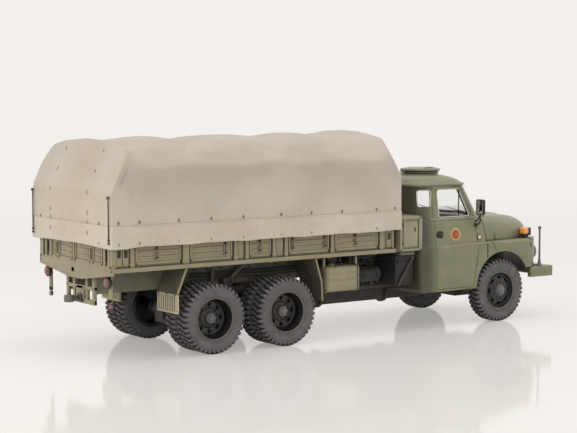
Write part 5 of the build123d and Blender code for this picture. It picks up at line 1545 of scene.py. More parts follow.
def build_hatch():
    """Round roof hatch: a ring on the roof, a dark gap, and a lid with a rolled rim and hinge lugs."""
    low, high = node_mm("roof_hatch")
    x, y, top = (low[0] + high[0]) / 2, (low[1] + high[1]) / 2, high[2]
    ring, gap, lid = Form(), Form(), Form()
    ring.lathe([(6.4, low[2] - top + 0.2), (6.4, -1.9), (6.7, -1.7), (7.2, -1.75), (7.3, -2.1),
                (7.0, -2.4), (6.9, -4.2)], (x, y, top), axis="z", sides=64)
    gap.lathe([(6.3, -2.2), (6.6, -1.9), (6.6, -1.2), (6.3, -1.0)], (x, y, top), axis="z", sides=64,
              closed=True)
    lid.lathe([(6.0, -1.35), (7.5, -1.4), (7.85, -1.25), (7.9, -0.95), (7.75, -0.6), (7.2, -0.45),
               (6.9, -0.5), (6.6, -0.35), (5.2, -0.12), (3.0, -0.02), (0, 0.0)], (x, y, top), axis="z",
              sides=64)
    lid.lathe([(6.0, -1.35), (0, -1.35)], (x, y, top), axis="z", sides=64)
    for turn in (150, 175, 350):
        angle = math.radians(turn)
        at = (x + 7.3 * math.cos(angle), y + 7.3 * math.sin(angle))
        lid.box((at[0] - 0.6, at[1] - 0.6, top - 1.9), (at[0] + 0.6, at[1] + 0.6, top - 0.5), edge=0.2)
    lid.tube([(x - 2.0, y - 5.2, top - 0.25), (x - 1.6, y - 5.3, top - 0.05),
              (x + 1.6, y - 5.3, top - 0.05), (x + 2.0, y - 5.2, top - 0.25)], 0.2, sides=8, smooth=3)
    ring.piece("roof_hatch_ring", cab_green, stands_for=["roof_hatch"])
    gap.piece("roof_hatch_gap", trim_black)
    lid.piece("roof_hatch_lid", cab_green)


def build_lockers():
    """Lockers behind the cab: a pressed door with a frame, hinges and a catch on each."""
    form, dark = Form(), Form()
    low, high = node_mm("storage_lockers")
    x0, x1, z0, z1, y = low[0], high[0], low[2], high[2], high[1]
    # Bars of the frame. Columns: start, end, depth, low, high, rounding
    bars = ((x0 + 0.1, x1 + 1.1, 0.9, z1 - 1.3, z1 - 0.3, 0.3),
            (x0 + 0.1, x1 + 1.1, 0.9, z0 + 0.2, z0 + 1.1, 0.25),
            (x0 + 0.1, x0 + 1.2, 0.9, z0 + 0.2, z1 - 0.3, 0.25))
    for hand in (-1, 1):
        form.box((x0, hand * 15.0, z0), (x1, hand * (y - 0.5), z1), edge=0.5, steps=3)
        for start, end, depth, foot, top, edge in bars:
            form.box((start, hand * (y - depth), foot), (end, hand * y, top), edge=edge)
        form.box((x1 - 0.6, hand * (y - 2.4), z0 + 0.2), (x1 + 1.1, hand * y, z1 - 0.3), edge=0.3, steps=3)
        form.box((x0 + 1.8, hand * (y - 0.8), z0 + 1.7), (x1 - 1.1, hand * (y - 0.12), z1 - 2.0),
                 edge=0.35, steps=3)
        form.box((x0 + 2.3, hand * (y - 0.5), z0 + 2.0), (x1 - 1.6, hand * y, z0 + 2.9), edge=0.2)
        dark.box((x1 - 2.9, hand * (y - 0.3), 38.4), (x1 - 2.3, hand * y, 40.2), edge=0.15)
        for z in (34.2, 41.2):
            at = (x0 + 1.5, hand * (y - 0.25))
            dark.rod((*at, z - 0.7), (*at, z + 0.7), 0.24, sides=10)
    # The lockers are in the lighter copy of the cab paint: painted light
    form.piece("storage_lockers_pressed", painted_light_green, stands_for=["storage_lockers"])
    dark.piece("storage_locker_catches", trim_black)


def build_mirrors():
    """Mirrors on looped arms: a dark rounded back and a bright face turned to the rear."""
    arms, glass_faces = Form(), Form()
    low, high = node_mm("mirrors")
    x = (low[0] + high[0]) / 2
    for hand in (-1, 1):
        y = high[1] - 2.2
        outline = round_corners([(y - 2.0, 43.4), (y + 2.2, 43.4), (y + 2.2, 49.6), (y - 2.0, 49.6)], 0.8)
        arms.prism([(hand * a, b) for a, b in outline], "x", x - 0.55, x + 0.75, edge=0.135)
        inner = round_corners([(y - 1.7, 43.7), (y + 1.9, 43.7), (y + 1.9, 49.3), (y - 1.7, 49.3)], 0.6)
        glass_faces.prism([(hand * a, b) for a, b in inner], "x", x - 0.66, x - 0.4, edge=0.05)
        arms.tube([(x, hand * 25.7, 39.4), (x, hand * 27.2, 39.6), (x, hand * y, 40.9), (x, hand * y, 42.4),
                   (x, hand * y, 44.0)], 0.3, sides=10)
        arms.tube([(x + 0.3, hand * 25.7, 41.0), (x + 0.2, hand * 26.9, 41.4),
                   (x, hand * (y - 0.1), 43.2)], 0.24, sides=8)
        arms.lathe([(0, -0.4), (0.9, -0.4), (0.9, 0.1), (0.6, 0.3), (0, 0.35)], (x, hand * 25.85, 39.4),
                   sides=20, hand=hand)
    arms.piece("mirrors_on_arms", trim_black, stands_for=["mirrors"])
    glass_faces.piece("mirror_faces", mirror_silver, slot="pin_steel")


def build_seats():
    """Moulded seats with ribbed faces."""
    seats = Form()
    for y0, y1 in ((-17.5, -5.5), (5.5, 17.5)):
        for z0, z1, x0, x1 in ((30.6, 35.4, 38.2, 48.4), (35.0, 45.4, 37.7, 40.6)):
            seats.box((x0, y0, z0), (x1, y1, z1), edge=1.1, steps=4)
        for y in np.linspace(y0 + 2.0, y1 - 2.0, 4):
            seats.box((40.9, y - 0.9, 35.0), (48.0, y + 0.9, 35.7), edge=0.35, steps=3)
            seats.box((40.3, y - 0.9, 36.4), (40.95, y + 0.9, 44.6), edge=0.3, steps=3)
    seats.piece("seats_moulded", seat_vinyl, stands_for=["seats"], slot="cab_interior")


def build_dashboard():
    """Dashboard with dials, and the shelf under the windscreen."""
    dash, shelf = Form(), Form()
    low, high = node_mm("dashboard")
    dash.box((low[0] + 0.3, low[1], low[2] + 0.3), (high[0], high[1], high[2] - 0.1), edge=0.9, steps=3)
    for y, r in ((11.0, 1.3), (7.6, 0.9), (14.4, 0.9), (4.9, 0.7)):
        dash.lathe([(0, 0.35), (r * 0.82, 0.35), (r * 0.86, 0.0), (r, -0.1), (r, 0.6)],
                   (low[0] + 0.3, y, 38.6), axis="x", sides=24)
    dash.box((low[0] + 0.1, -15.0, 36.6), (low[0] + 0.7, -5.0, 39.4), edge=0.25)
    dash.piece("dashboard_with_dials", cab_lining, stands_for=["dashboard"])
    # The shelf is pale: painted light against the dim light in the cab
    shelf.box((61.2, -19.0, 41.4), (66.0, 19.0, 43.0), edge=0.5, steps=3)
    for y in (-14.0, 0.0, 14.0):
        shelf.box((62.0, y - 3.0, 42.8), (64.4, y + 3.0, 43.3), edge=0.15)
    shelf.piece("screen_shelf", pale_lining, slot="cab_interior")


build_cab_body()
build_gaskets()
build_door_fittings()
build_belt_beads()
build_hatch()
build_lockers()
build_mirrors()
build_seats()
build_dashboard()


# Bonnet and fenders
# Sections of the bonnet. Columns: place, half width, top, corner radius, half width of the raised middle
BONNET_SECTIONS = (
    (69.0, 24.9, 42.2, 5.0, 8.6), (80.0, 23.4, 42.2, 6.5, 8.2), (90.0, 21.2, 41.4, 7.2, 7.4),
    (96.0, 18.9, 39.6, 5.5, 6.8),
    (99.3, 16.2, 37.0, 3.2, 6.2), (100.0, 15.0, 35.6, 2.2, 5.8),
)
BONNET_LOW_Z = 32.4
BONNET_STEPS = 7
STRIP_RISE = 0.42
FENDER_Y = 27.2
ARCH_LINER_R = 14.05
SEAM_R = 0.11


def bonnet_ring(x, half_w, top, corner_r, strip):
    """One closed section of the bonnet, with the raised strip along its middle."""
    half = [(half_w, z) for z in np.linspace(BONNET_LOW_Z, top - corner_r, 5)]
    for angle in np.linspace(0, math.pi / 2, 11)[1:]:
        half.append((half_w - corner_r + corner_r * math.cos(angle),
                     top - corner_r + corner_r * math.sin(angle)))
    half += [(strip + 0.7, top + 0.02), (strip + 0.3, top + 0.08), (strip - 0.1, top + 0.8 * STRIP_RISE),
             (strip - 0.5, top + STRIP_RISE), (strip / 2, top + 1.1 * STRIP_RISE)]
    middle = [(0.0, top + 1.15 * STRIP_RISE)]
    return [(x, -y, z) for y, z in half] + [(x, y, z) for y, z in middle] + [(x, y, z) for y,
                                                                             z in reversed(half)]


def bonnet_side(x, z):
    """How far out the bonnet's side stands at a place and height."""
    columns = [np.interp(x, [s[0] for s in BONNET_SECTIONS],
                         [s[i] for s in BONNET_SECTIONS]) for i in range(4)]
    half_w, top, corner_r = columns[1:]
    rise = z - (top - corner_r)
    return float(half_w if rise <= 0 else half_w - corner_r + math.sqrt(max(corner_r ** 2 - rise ** 2,
                                                                            0.0)))


def build_bonnet():
    """The bonnet with its raised strip, its seams, catches and hinges."""
    form, dark, catches = Form(), Form(), Form()
    rows = [bonnet_ring(*row) for row in smooth_line(BONNET_SECTIONS, BONNET_STEPS)]
    form.grid(rows, wrap=True, caps=True)
    for hand in (-1, 1):
        seam = [(68.7, 33.0), (68.3, 35.5), (67.7, 38.4), (66.9, 41.0), (66.2, 42.3)]
        dark.tube([(x, hand * (side_y(z) - 0.03), z) for x, z in seam], SEAM_R, sides=6, smooth=3)
        lower = [(x, hand * (bonnet_side(x, 32.8) - 0.02), 32.62) for x in np.linspace(69.3, 97.5, 16)]
        dark.tube(lower, SEAM_R, sides=6, smooth=2)
        for x in (75.5, 88.0):
            out = bonnet_side(x, 34.6)
            catches.box((x - 0.5, hand * (out - 0.3), 32.7), (x + 0.5, hand * (out + 0.3), 35.4), edge=0.14)
            catches.rod((x - 0.75, hand * (out + 0.15), 35.2), (x + 0.75, hand * (out + 0.15), 35.2),
                        0.24, sides=12)
            catches.box((x - 0.34, hand * (out - 0.1), 33.2), (x + 0.34, hand * (out + 0.42), 34.6),
                        edge=0.12)
        for y in (11.5, 20.0):
            catches.rod((70.3, hand * (y - 1.1), 42.05), (70.3, hand * (y + 1.1), 42.05), 0.36, sides=12,
                        edge=0.08)
            catches.box((70.3, hand * (y - 0.8), 42.0), (72.2, hand * (y + 0.8), 42.36), edge=0.12)
    form.piece("bonnet_pressed", cab_green, stands_for=["bonnet"], angle=30)
    dark.piece("bonnet_seams", trim_black)
    catches.piece("bonnet_catches_and_hinges", cab_green)


def arch_line(radius, first, last, steps=40):
    """Points round a front wheel arch between two angles, as (x, z)."""
    return [(ARCH_AT[0] + radius * math.cos(a), ARCH_AT[1] + radius * math.sin(a))
            for a in np.linspace(math.radians(first), math.radians(last), steps)]


def build_fenders():
    """Fenders with rolled arch lips and dark liners, whose dark is painted shade inside the arches, and the
    brows over the headlamps.
    """
    softened("front_fenders", 0.22, cab_green)
    lips, liners, brows, dark = Form(), Form(), Form(), Form()
    for hand in (-1, 1):
        lips.tube([(x, hand * (FENDER_Y - 0.14), z) for x, z in arch_line(ARCH_R + 0.12, 30, 172)], 0.26,
                  sides=10, smooth=0)
        # Painted shade: the dark liners and plates close the arches and stand for the shade inside them
        outer, inner = arch_line(ARCH_LINER_R + 0.1, 24, 170), arch_line(ARCH_LINER_R - 0.25, 24, 170)
        rows = [[(x, hand * y, z) for x, z in line] for line, y in
                ((outer, 26.7), (inner, 26.7), (inner, 15.2), (outer, 15.2), (outer, 26.7))]
        liners.grid(rows)
        back = [(x, z) for x, z in arch_line(ARCH_LINER_R, 24, 160)] + [(64.0, 30.6), (90.0, 30.6)]
        liners.prism([(x, z) for x, z in back if z > 19.5], "y", hand * 14.9, hand * 15.3, edge=0)
        visor = round_corners([(92.6, 26.5), (95.6, 25.2), (98.0, 22.8), (99.1, 19.8), (99.2, 16.4),
                               (97.6, 16.4), (96.0, 21.0), (92.6, 23.6)], 0.9, steps=3)
        brows.prism([(x, hand * y) for x, y in visor], "z", 31.0, 32.75, edge=0.13, steps=3)
        brows.box((69.2, hand * 25.2, 31.5), (91.8, hand * 26.0, 32.62), edge=0.3, steps=3)
        seam = [(71.5, 32.2), (72.0, 31.3), (72.8, 29.8), (73.4, 28.35)]
        dark.tube([(x, hand * (FENDER_Y - 0.02 - max(z - 31.2, 0) * 0.55), z) for x, z in seam], SEAM_R,
                  sides=6, smooth=4)
        front_seam = [(91.4, 32.0), (92.3, 30.9), (92.5, 29.0)]
        dark.tube([(x, hand * (FENDER_Y - 0.25 - max(z - 31.0, 0) * 0.6), z) for x, z in front_seam],
                  SEAM_R, sides=6, smooth=4)
    lips.piece("fender_arch_lips", cab_green)
    liners.piece("front_arch_liners", trim_black)
    brows.piece("headlamp_brows", cab_green)
    dark.piece("fender_seams", trim_black)


build_bonnet()
build_fenders()


# Front end
GRILLE_BARS = 6


def build_grille():
    """Grille frame with rounded bars, a dark mesh behind them and a plain disc in the middle."""
    low, high = node_mm("grille")
    frame_form, mesh, disc = Form(), Form(), Form()
    x0, x1 = low[0], high[0] + 0.15
    y, z0, z1 = high[1], low[2], high[2]
    for hand in (-1, 1):
        frame_form.box((x0, hand * (y - 1.5), z0), (x1, hand * y, z1), edge=0.35, steps=3)
        frame_form.box((x0 + 0.3, hand * 4.7, z0 + 0.5), (x1 - 0.15, hand * 5.3, z1 - 0.5), edge=0.2)
    frame_form.box((x0, -y, z1 - 1.2), (x1, y, z1), edge=0.35, steps=3)
    frame_form.box((x0, -y, z0), (x1, y, z0 + 1.2), edge=0.35, steps=3)
    step = (z1 - z0 - 2.0) / (GRILLE_BARS + 1)
    for nth in range(1, GRILLE_BARS + 1):
        z = z0 + 1.0 + nth * step
        slat = round_corners([(x0 + 0.3, z - 0.38), (x1 - 0.05, z - 0.1), (x1 - 0.05, z + 0.3),
                              (x0 + 0.3, z + 0.38)], 0.16, 3)
        frame_form.prism(slat, "y", -(y - 1.2), y - 1.2, edge=0)
    mesh.box((x0 - 0.2, -(y - 0.8), z0 + 0.6), (x0 + 0.2, y - 0.8, z1 - 0.6), edge=0.1)
    for place in np.linspace(-(y - 1.6), y - 1.6, 34):
        mesh.box((x0 + 0.1, place - 0.07, z0 + 1.0), (x0 + 0.34, place + 0.07, z1 - 1.0), edge=0.03,
                 steps=1)
    disc.lathe([(0, -0.9), (1.9, -0.9), (1.9, 0.1), (1.75, 0.24), (1.5, 0.2), (1.4, 0.12), (0, 0.2)],
               (x1 - 0.1, 0, (z0 + z1) / 2 + 2.2), axis="x", sides=40)
    frame_form.piece("grille_slatted", cab_green, stands_for=["grille"])
    mesh.piece("grille_mesh", trim_black)
    disc.piece("grille_plain_disc", rim_black)


def build_headlamps():
    """Headlamps: a rim ring with its screws, a bright bowl and a lens."""
    low, high = node_mm("headlamps")
    x, z, r = high[0], (low[2] + high[2]) / 2, (high[2] - low[2]) / 2
    rings, bowls, lenses = Form(), Form(), Form()
    for hand in (-1, 1):
        centre = (x, hand * (high[1] - r), z)
        rings.lathe([(r, -3.6), (r, -0.75), (r - 0.06, -0.4), (r - 0.3, -0.12), (r - 0.55, -0.1),
                     (r - 0.68, -0.3), (r - 0.7, -0.8), (r - 0.72, -3.2)], centre, axis="x", sides=56)
        bowls.lathe([(r - 0.7, -0.7), (r - 1.0, -1.5), (1.4, -2.6), (0.5, -2.9), (0, -2.9)], centre,
                    axis="x", sides=48)
        bowls.ball((x - 2.1, centre[1], z), 0.55)
        lenses.lathe([(r - 0.66, -0.65), (r - 0.7, -0.42), (r - 1.1, -0.22), (1.2, -0.04), (0, 0.0)],
                     centre, axis="x", sides=48)
        for turn in (90, 210, 330):
            angle = math.radians(turn)
            at = (centre[1] + (r - 0.42) * math.cos(angle), z + (r - 0.42) * math.sin(angle))
            rings.lathe([(0.2, -0.15), (0.18, -0.02), (0, 0.0)], (x, at[0], at[1]), axis="x", sides=12)
    rings.piece("headlamp_rings", cab_green, stands_for=["headlamps"])
    bowls.piece("headlamp_bowls", mirror_silver, slot="pin_steel")
    lenses.piece("headlamp_lenses", pane_glass)


def build_indicators():
    """Amber indicators in dark brackets on the fenders."""
    low, high = node_mm("indicator_lamps")
    x0, x1, z0, z1 = low[0], high[0], low[2], high[2]
    foot = node_mm("indicator_feet")[0][2]
    y1 = high[1]
    y0 = y1 - 3.0
    # Bars of a bracket. Columns: start, end, inner, outer, low, high, rounding
    bars = ((x1 - 0.8, x1 + 0.15, y0 - 0.1, y1 + 0.25, z0 - 0.1, z1 - 0.05, 0.22),
            (x0 + 0.3, x1 - 0.2, y0 + 0.2, y1 - 0.1, z0 - 0.15, z0 + 0.5, 0.2),
            (x0 + 1.0, x1 - 0.6, y0 + 0.5, y1 - 0.5, foot, z0 + 0.1, 0.25),
            (x0 + 0.2, x1 + 0.1, y0 + 0.1, y1 - 0.1, foot - 0.02, foot + 0.35, 0.12))
    wire = [(x0 + 0.6, y0 + 0.4, foot + 0.4), (x0 - 1.2, y0 + 0.1, foot + 0.7),
            (x0 - 2.6, y0 - 0.6, foot + 0.5)]
    lenses, brackets = Form(), Form()
    for hand in (-1, 1):
        lenses.box((x0 + 0.1, hand * (y0 + 0.1), z0 + 0.35), (x1 - 0.75, hand * (y1 + 0.15), z1), edge=0.7,
                   steps=4)
        for start, end, inner, outer, under, top, edge in bars:
            brackets.box((start, hand * inner, under), (end, hand * outer, top), edge=edge)
        brackets.tube([(x, hand * y, z) for x, y, z in wire], 0.2, sides=8)
    lenses.piece("indicator_lenses", amber, stands_for=["indicator_lamps"])
    brackets.piece("indicator_brackets", trim_black, stands_for=["indicator_feet"])


def build_bumper():
    """The bumper with its bolts, and the marker poles on its ends."""
    softened("front_bumper", 0.32, cab_green)
    low, high = node_mm("front_bumper")
    bolts, poles = Form(), Form()
    for y in (-20.0, -9.0, 9.0, 20.0):
        for z in (low[2] + 1.1, high[2] - 1.1):
            bolts.lathe([(0.55, 0), (0.55, 0.26), (0.4, 0.36), (0, 0.36)], (high[0] - 0.02, y, z),
                        axis="x", sides=6)
    pole_low, pole_high = node_mm("marker_poles")
    x = (pole_low[0] + pole_high[0]) / 2
    for hand in (-1, 1):
        y = pole_high[1] - 1.05
        for at in (94.2, 100.4):
            bolts.lathe([(0.5, 0), (0.5, 0.2), (0.36, 0.3), (0, 0.3)],
                        (at, hand * (high[1] - 0.02), (low[2] + high[2]) / 2), sides=6, hand=hand)
        poles.lathe([(0, 0), (1.05, 0), (1.05, 0.25), (0.8, 0.7), (0.62, 1.6), (0.5, 2.4), (0.42, 3.2),
                     (0.36, 13.9), (0.42, 14.3), (0.36, 14.6), (0.38, 14.9), (0.62, 15.2), (0.72, 15.6),
                     (0.62, 16.0), (0.35, 16.25), (0, 16.35)], (x, hand * y, pole_low[2]), axis="z",
                    sides=24)
    bolts.piece("bumper_bolts", cab_green)
    poles.piece("marker_poles_with_knobs", hub_grey, stands_for=["marker_poles"])


def build_wipers():
    """Two wipers at the foot of the windscreen."""
    form = Form()
    for y, reach in ((-15.5, 9.5), (3.0, 9.5)):
        foot = (66.4, y, 43.1)
        tip = (65.9, y + 0.6 * reach, 44.5)
        form.lathe([(0.5, -0.3), (0.5, 0.35), (0.3, 0.5), (0, 0.5)], foot, axis="x", sides=16)
        form.tube([foot, ((foot[0] + tip[0]) / 2 + 0.35, (foot[1] + tip[1]) / 2, (foot[2] + tip[2]) / 2),
                   tip], 0.16, sides=8)
        form.tube([(66.1, y - 1.0, 43.75), tip, (65.4, y + reach + 1.0, 45.3)], 0.14, sides=6, smooth=3)
    form.piece("wipers", trim_black)


build_grille()
build_headlamps()
build_indicators()
build_bumper()
build_wipers()


# Under the bed and the cab
GUARD_KINK_Z = 22.3
GUARD_THICK = 0.75
FLAP_RIBS = 9


def build_guards():
    """Bent mudguards ahead of the bogie, and flaps behind it with a ribbed lower sheet."""
    low, high = node_mm("front_mudguards")
    guards, edges, uppers, flaps, dark = Form(), Form(), Form(), Form(), Form()
    head, knee, foot = (high[0] - 3.0, high[2]), (high[0] - 0.35, GUARD_KINK_Z), (high[0], low[2])
    bend = round_corners([head, knee, foot], [0, 3.0, 0], 4)[5:10]
    line = [head] + bend + [foot]
    plate = line + [(x - GUARD_THICK, z) for x, z in reversed(line)]
    for hand in (-1, 1):
        y0, y1 = hand * 13.6, hand * high[1]
        guards.prism(plate, "y", y0, y1, edge=0.13)
        edges.tube([(x - 0.3, y1 - hand * 0.25, z) for x, z in line], 0.42, sides=8, smooth=0)
        guards.box((high[0] - 2.6, hand * 22.0, 24.6), (high[0] + 0.1, hand * 22.7, 31.0), edge=0.2)
    guards.piece("front_mudguards_bent", shade_olive, stands_for=["front_mudguards"])

    low, high = node_mm("rear_mudflaps")
    top_x, kink_x, foot_z, top_z = high[0] - 0.8, low[0] + 0.4, low[2], high[2]
    for hand in (-1, 1):
        inner, outer = 13.6, high[1]
        upper = [(top_x, top_z), (kink_x, GUARD_KINK_Z), (kink_x, GUARD_KINK_Z - 0.6),
                 (kink_x + 0.75, GUARD_KINK_Z - 0.6), (kink_x + 0.75, GUARD_KINK_Z),
                 (top_x + 0.75, top_z)]
        uppers.prism(upper, "y", hand * inner, hand * outer, edge=0.16)
        edges.tube([(top_x + 0.35, hand * (outer - 0.25), top_z),
                    (kink_x + 0.35, hand * (outer - 0.25), GUARD_KINK_Z)], 0.42, sides=8, smooth=0)
        flaps.box((kink_x + 0.1, hand * inner, foot_z), (kink_x + 0.75, hand * outer, GUARD_KINK_Z),
                  edge=0.18)
        flaps.box((kink_x - 0.25, hand * inner, GUARD_KINK_Z - 1.0),
                  (kink_x + 0.3, hand * outer, GUARD_KINK_Z - 0.3), edge=0.16)
        flaps.box((kink_x - 0.25, hand * inner, foot_z), (kink_x + 0.3, hand * outer, foot_z + 0.75),
                  edge=0.16)
        step = (outer - inner) / FLAP_RIBS
        for nth in range(FLAP_RIBS):
            y = inner + (nth + 0.5) * step
            flaps.box((kink_x - 0.3, hand * (y - 0.3 * step), foot_z + 0.4),
                      (kink_x + 0.3, hand * (y + 0.3 * step), GUARD_KINK_Z - 0.6), edge=0.2)
        dark.box((kink_x - 0.12, hand * (inner + 0.4), foot_z + 0.95),
                 (kink_x + 0.2, hand * (outer - 0.4), foot_z + 1.15), edge=0.04)
        for y in (inner + 1.2, (inner + outer) / 2, outer - 1.2):
            dark.lathe([(0.34, -0.2), (0.34, 0.12), (0.2, 0.2), (0, 0.2)],
                       (kink_x - 0.28, hand * y, GUARD_KINK_Z - 0.65), axis="x", sides=6, hand=-1)
    # The ribbed sheets are painted paler than the bed: painted light against the shade they stand in
    flaps.piece("rear_mudflaps_ribbed", rib_green, stands_for=["rear_mudflaps"])
    uppers.piece("rear_mudflap_plates", shade_olive, slot="bed_khaki")
    edges.piece("mudguard_edges", bed_green)
    dark.piece("rear_mudflap_bolts", trim_black)


def build_fuel_tanks():
    """Fuel tanks with their seams, caps and hangers."""
    low, high = node_mm("fuel_tanks")
    x0, x1, y1, z0 = low[0], high[0], high[1], low[2]
    top = 27.3
    tanks, dark = Form(), Form()
    for hand in (-1, 1):
        tanks.box((x0, hand * 13.0, z0), (x1, hand * y1, top), edge=1.7, steps=6)
        section = round_corners([(13.0, z0), (y1, z0), (y1, top), (13.0, top)], 1.8, 6)
        for x in (x0 + 0.5, x1 - 0.5):
            closed_tube(tanks, [(x, hand * y, z) for y, z in section], 0.24, sides=8)
        for z, r in ((22.35, 0.26), (24.6, 0.15)):
            tanks.tube([(x0 + 0.3, hand * (y1 - 0.05), z), (x1 - 0.3, hand * (y1 - 0.05), z)], r,
                       sides=10, smooth=0)
            tanks.tube([(x0 + 0.05, hand * 14.5, z), (x0 + 0.05, hand * (y1 - 1.2), z)], r, sides=10,
                       smooth=0)
        tanks.lathe([(0, -0.3), (1.5, -0.3), (1.5, 0.5), (1.3, 0.7), (1.2, 0.7)],
                    (x0 + 5.2, hand * 22.6, top), axis="z", sides=32)
        dark.lathe([(1.25, 0.5), (1.45, 0.75), (1.5, 1.3), (1.35, 1.5), (0, 1.6)],
                   (x0 + 5.2, hand * 22.6, top), axis="z", sides=24)
        dark.rod((x0 + 9.6, hand * 23.4, top - 0.1), (x0 + 9.6, hand * 23.4, top + 0.8), 0.6, sides=16,
                 edge=0.12)
        for x in (x0 + 1.0, x1 - 1.0):
            dark.box((x - 0.5, hand * 14.8, top - 0.3), (x + 0.5, hand * 16.2, high[2]), edge=0.15)
            dark.box((x - 0.55, hand * 14.6, top - 0.05), (x + 0.55, hand * (y1 - 1.7), top + 0.3),
                     edge=0.12)
        dark.tube([(x0 + 5.2, hand * 21.2, top + 0.6), (x0 + 4.2, hand * 19.4, top + 1.2),
                   (x0 + 4.0, hand * 15.4, top + 0.5)], 0.28, sides=8)
        for x in (x0 + 0.3, x1 - 0.3):
            tanks.box((x - 0.35, hand * (y1 - 2.6), top - 1.2), (x + 0.35, hand * (y1 - 1.6), high[2]),
                      edge=0.15)
    tanks.piece("fuel_tanks_pressed", bed_green, stands_for=["fuel_tanks"])
    dark.piece("fuel_tank_hangers_and_caps", chassis_black)


def build_air_tanks():
    """Domed air tanks in straps."""
    air = Form()
    low, high = node_mm("air_tanks")
    x0, x1, y, z, r = low[0], high[0], 18.5, 22.6, 3.0
    for hand in (-1, 1):
        half = [(0, 0.0), (1.1, 0.12), (2.0, 0.5), (2.65, 1.1), (2.95, 1.8), (r, 2.4)]
        shell = half + [(radius, x1 - x0 - along) for radius, along in reversed(half)]
        air.lathe(shell, (x0, hand * y, z), axis="x", sides=40)
        for x in (x0 + 3.0, x1 - 3.0):
            air.lathe([(r - 0.1, -0.5), (r + 0.12, -0.5), (r + 0.12, 0.5), (r - 0.1, 0.5)],
                      (x, hand * y, z), axis="x", sides=40)
            air.box((x - 0.5, hand * 10.2, 24.4), (x + 0.5, hand * y, 25.4), edge=0.15)
            air.rod((x, hand * (y + r - 0.2), z - 0.4), (x, hand * (y + r + 0.35), z - 0.4), 0.3, sides=8)
        air.rod((x0 - 0.6, hand * y, z), (x0 + 0.3, hand * y, z), 0.6, sides=6)
        air.rod((x1 - 0.3, hand * y, z), (x1 + 0.6, hand * y, z), 0.6, sides=6)
    air.piece("air_tanks_domed", shade_black, stands_for=["air_tanks"])


def build_battery_boxes():
    """Battery boxes with lids, catches, grips and a slanting brace on each."""
    low, high = node_mm("battery_boxes")
    x0, x1, y0, y1, z0, z1 = low[0], high[0], 10.05, high[1], low[2], high[2]
    boxes, braces = Form(), Form()
    for hand in (-1, 1):
        boxes.box((x0, hand * y0, z0), (x1, hand * (y1 - 0.3), z1 - 2.2), edge=0.4, steps=3)
        boxes.box((x0 - 0.1, hand * y0, z1 - 2.4), (x1 + 0.1, hand * y1, z1), edge=0.4, steps=3)
        braces.tube([(x0 + 1.0, hand * (y1 + 0.2), z0 + 0.4), (x1 - 1.0, hand * (y1 + 0.2), z1 - 1.2)],
                    0.6, sides=12, smooth=0)
        braces.box((x1 - 2.0, hand * (y1 - 0.3), z1 - 2.2), (x1 - 0.2, hand * (y1 + 0.4), z1 - 0.4),
                   edge=0.2)
        for x in (x0 + 1.2, x1 - 1.2):
            boxes.box((x - 0.45, hand * (y1 - 0.3), z1 - 3.2), (x + 0.45, hand * (y1 + 0.15), z1 - 1.4),
                      edge=0.14)
        boxes.tube([(x0 + 3.2, hand * (y1 - 0.1), 23.6), (x0 + 3.4, hand * (y1 + 0.2), 23.2),
                    (x1 - 3.4, hand * (y1 + 0.2), 23.2), (x1 - 3.2, hand * (y1 - 0.1), 23.6)], 0.22,
                   sides=8, smooth=3)
    boxes.piece("battery_boxes_lidded", shade_black, stands_for=["battery_boxes"])
    braces.piece("battery_box_braces", chassis_black)


def build_gearbox():
    """Gearbox with its flanges, ribs and round covers."""
    low, high = node_mm("gearbox")
    case = Form()
    x0, x1, y, z0, z1 = low[0], high[0], high[1], low[2], high[2]
    case.box((x0 + 1.2, -y, z0 - 0.1), (x1 - 1.2, y, z1), edge=1.4, steps=4)
    for x in (x0 + 0.6, (x0 + x1) / 2 - 3.0, x1 - 0.6):
        case.box((x - 0.6, -y - 0.35, z0), (x + 0.6, y + 0.35, z1 - 0.1), edge=0.35, steps=3)
    for x in np.linspace(x0 + 3.2, x1 - 3.2, 7):
        for hand in (-1, 1):
            case.box((x - 0.22, hand * (y - 0.2), z0 + 1.0), (x + 0.22, hand * (y + 0.4), z1 - 2.0),
                     edge=0.12)
    for hand in (-1, 1):
        case.lathe([(0, 1.6), (1.5, 1.6), (1.8, 1.4), (2.0, 0.6), (2.4, 0.4), (2.4, -0.3)],
                   ((x0 + x1) / 2 + 3.0, hand * y, 20.6), sides=32, hand=hand)
        case.lathe([(0, 1.1), (1.0, 1.1), (1.3, 0.8), (1.5, -0.3)], ((x0 + x1) / 2 - 6.0, hand * y, 18.6),
                   sides=28, hand=hand)
    case.piece("gearbox_ribbed", chassis_black, stands_for=["gearbox"])


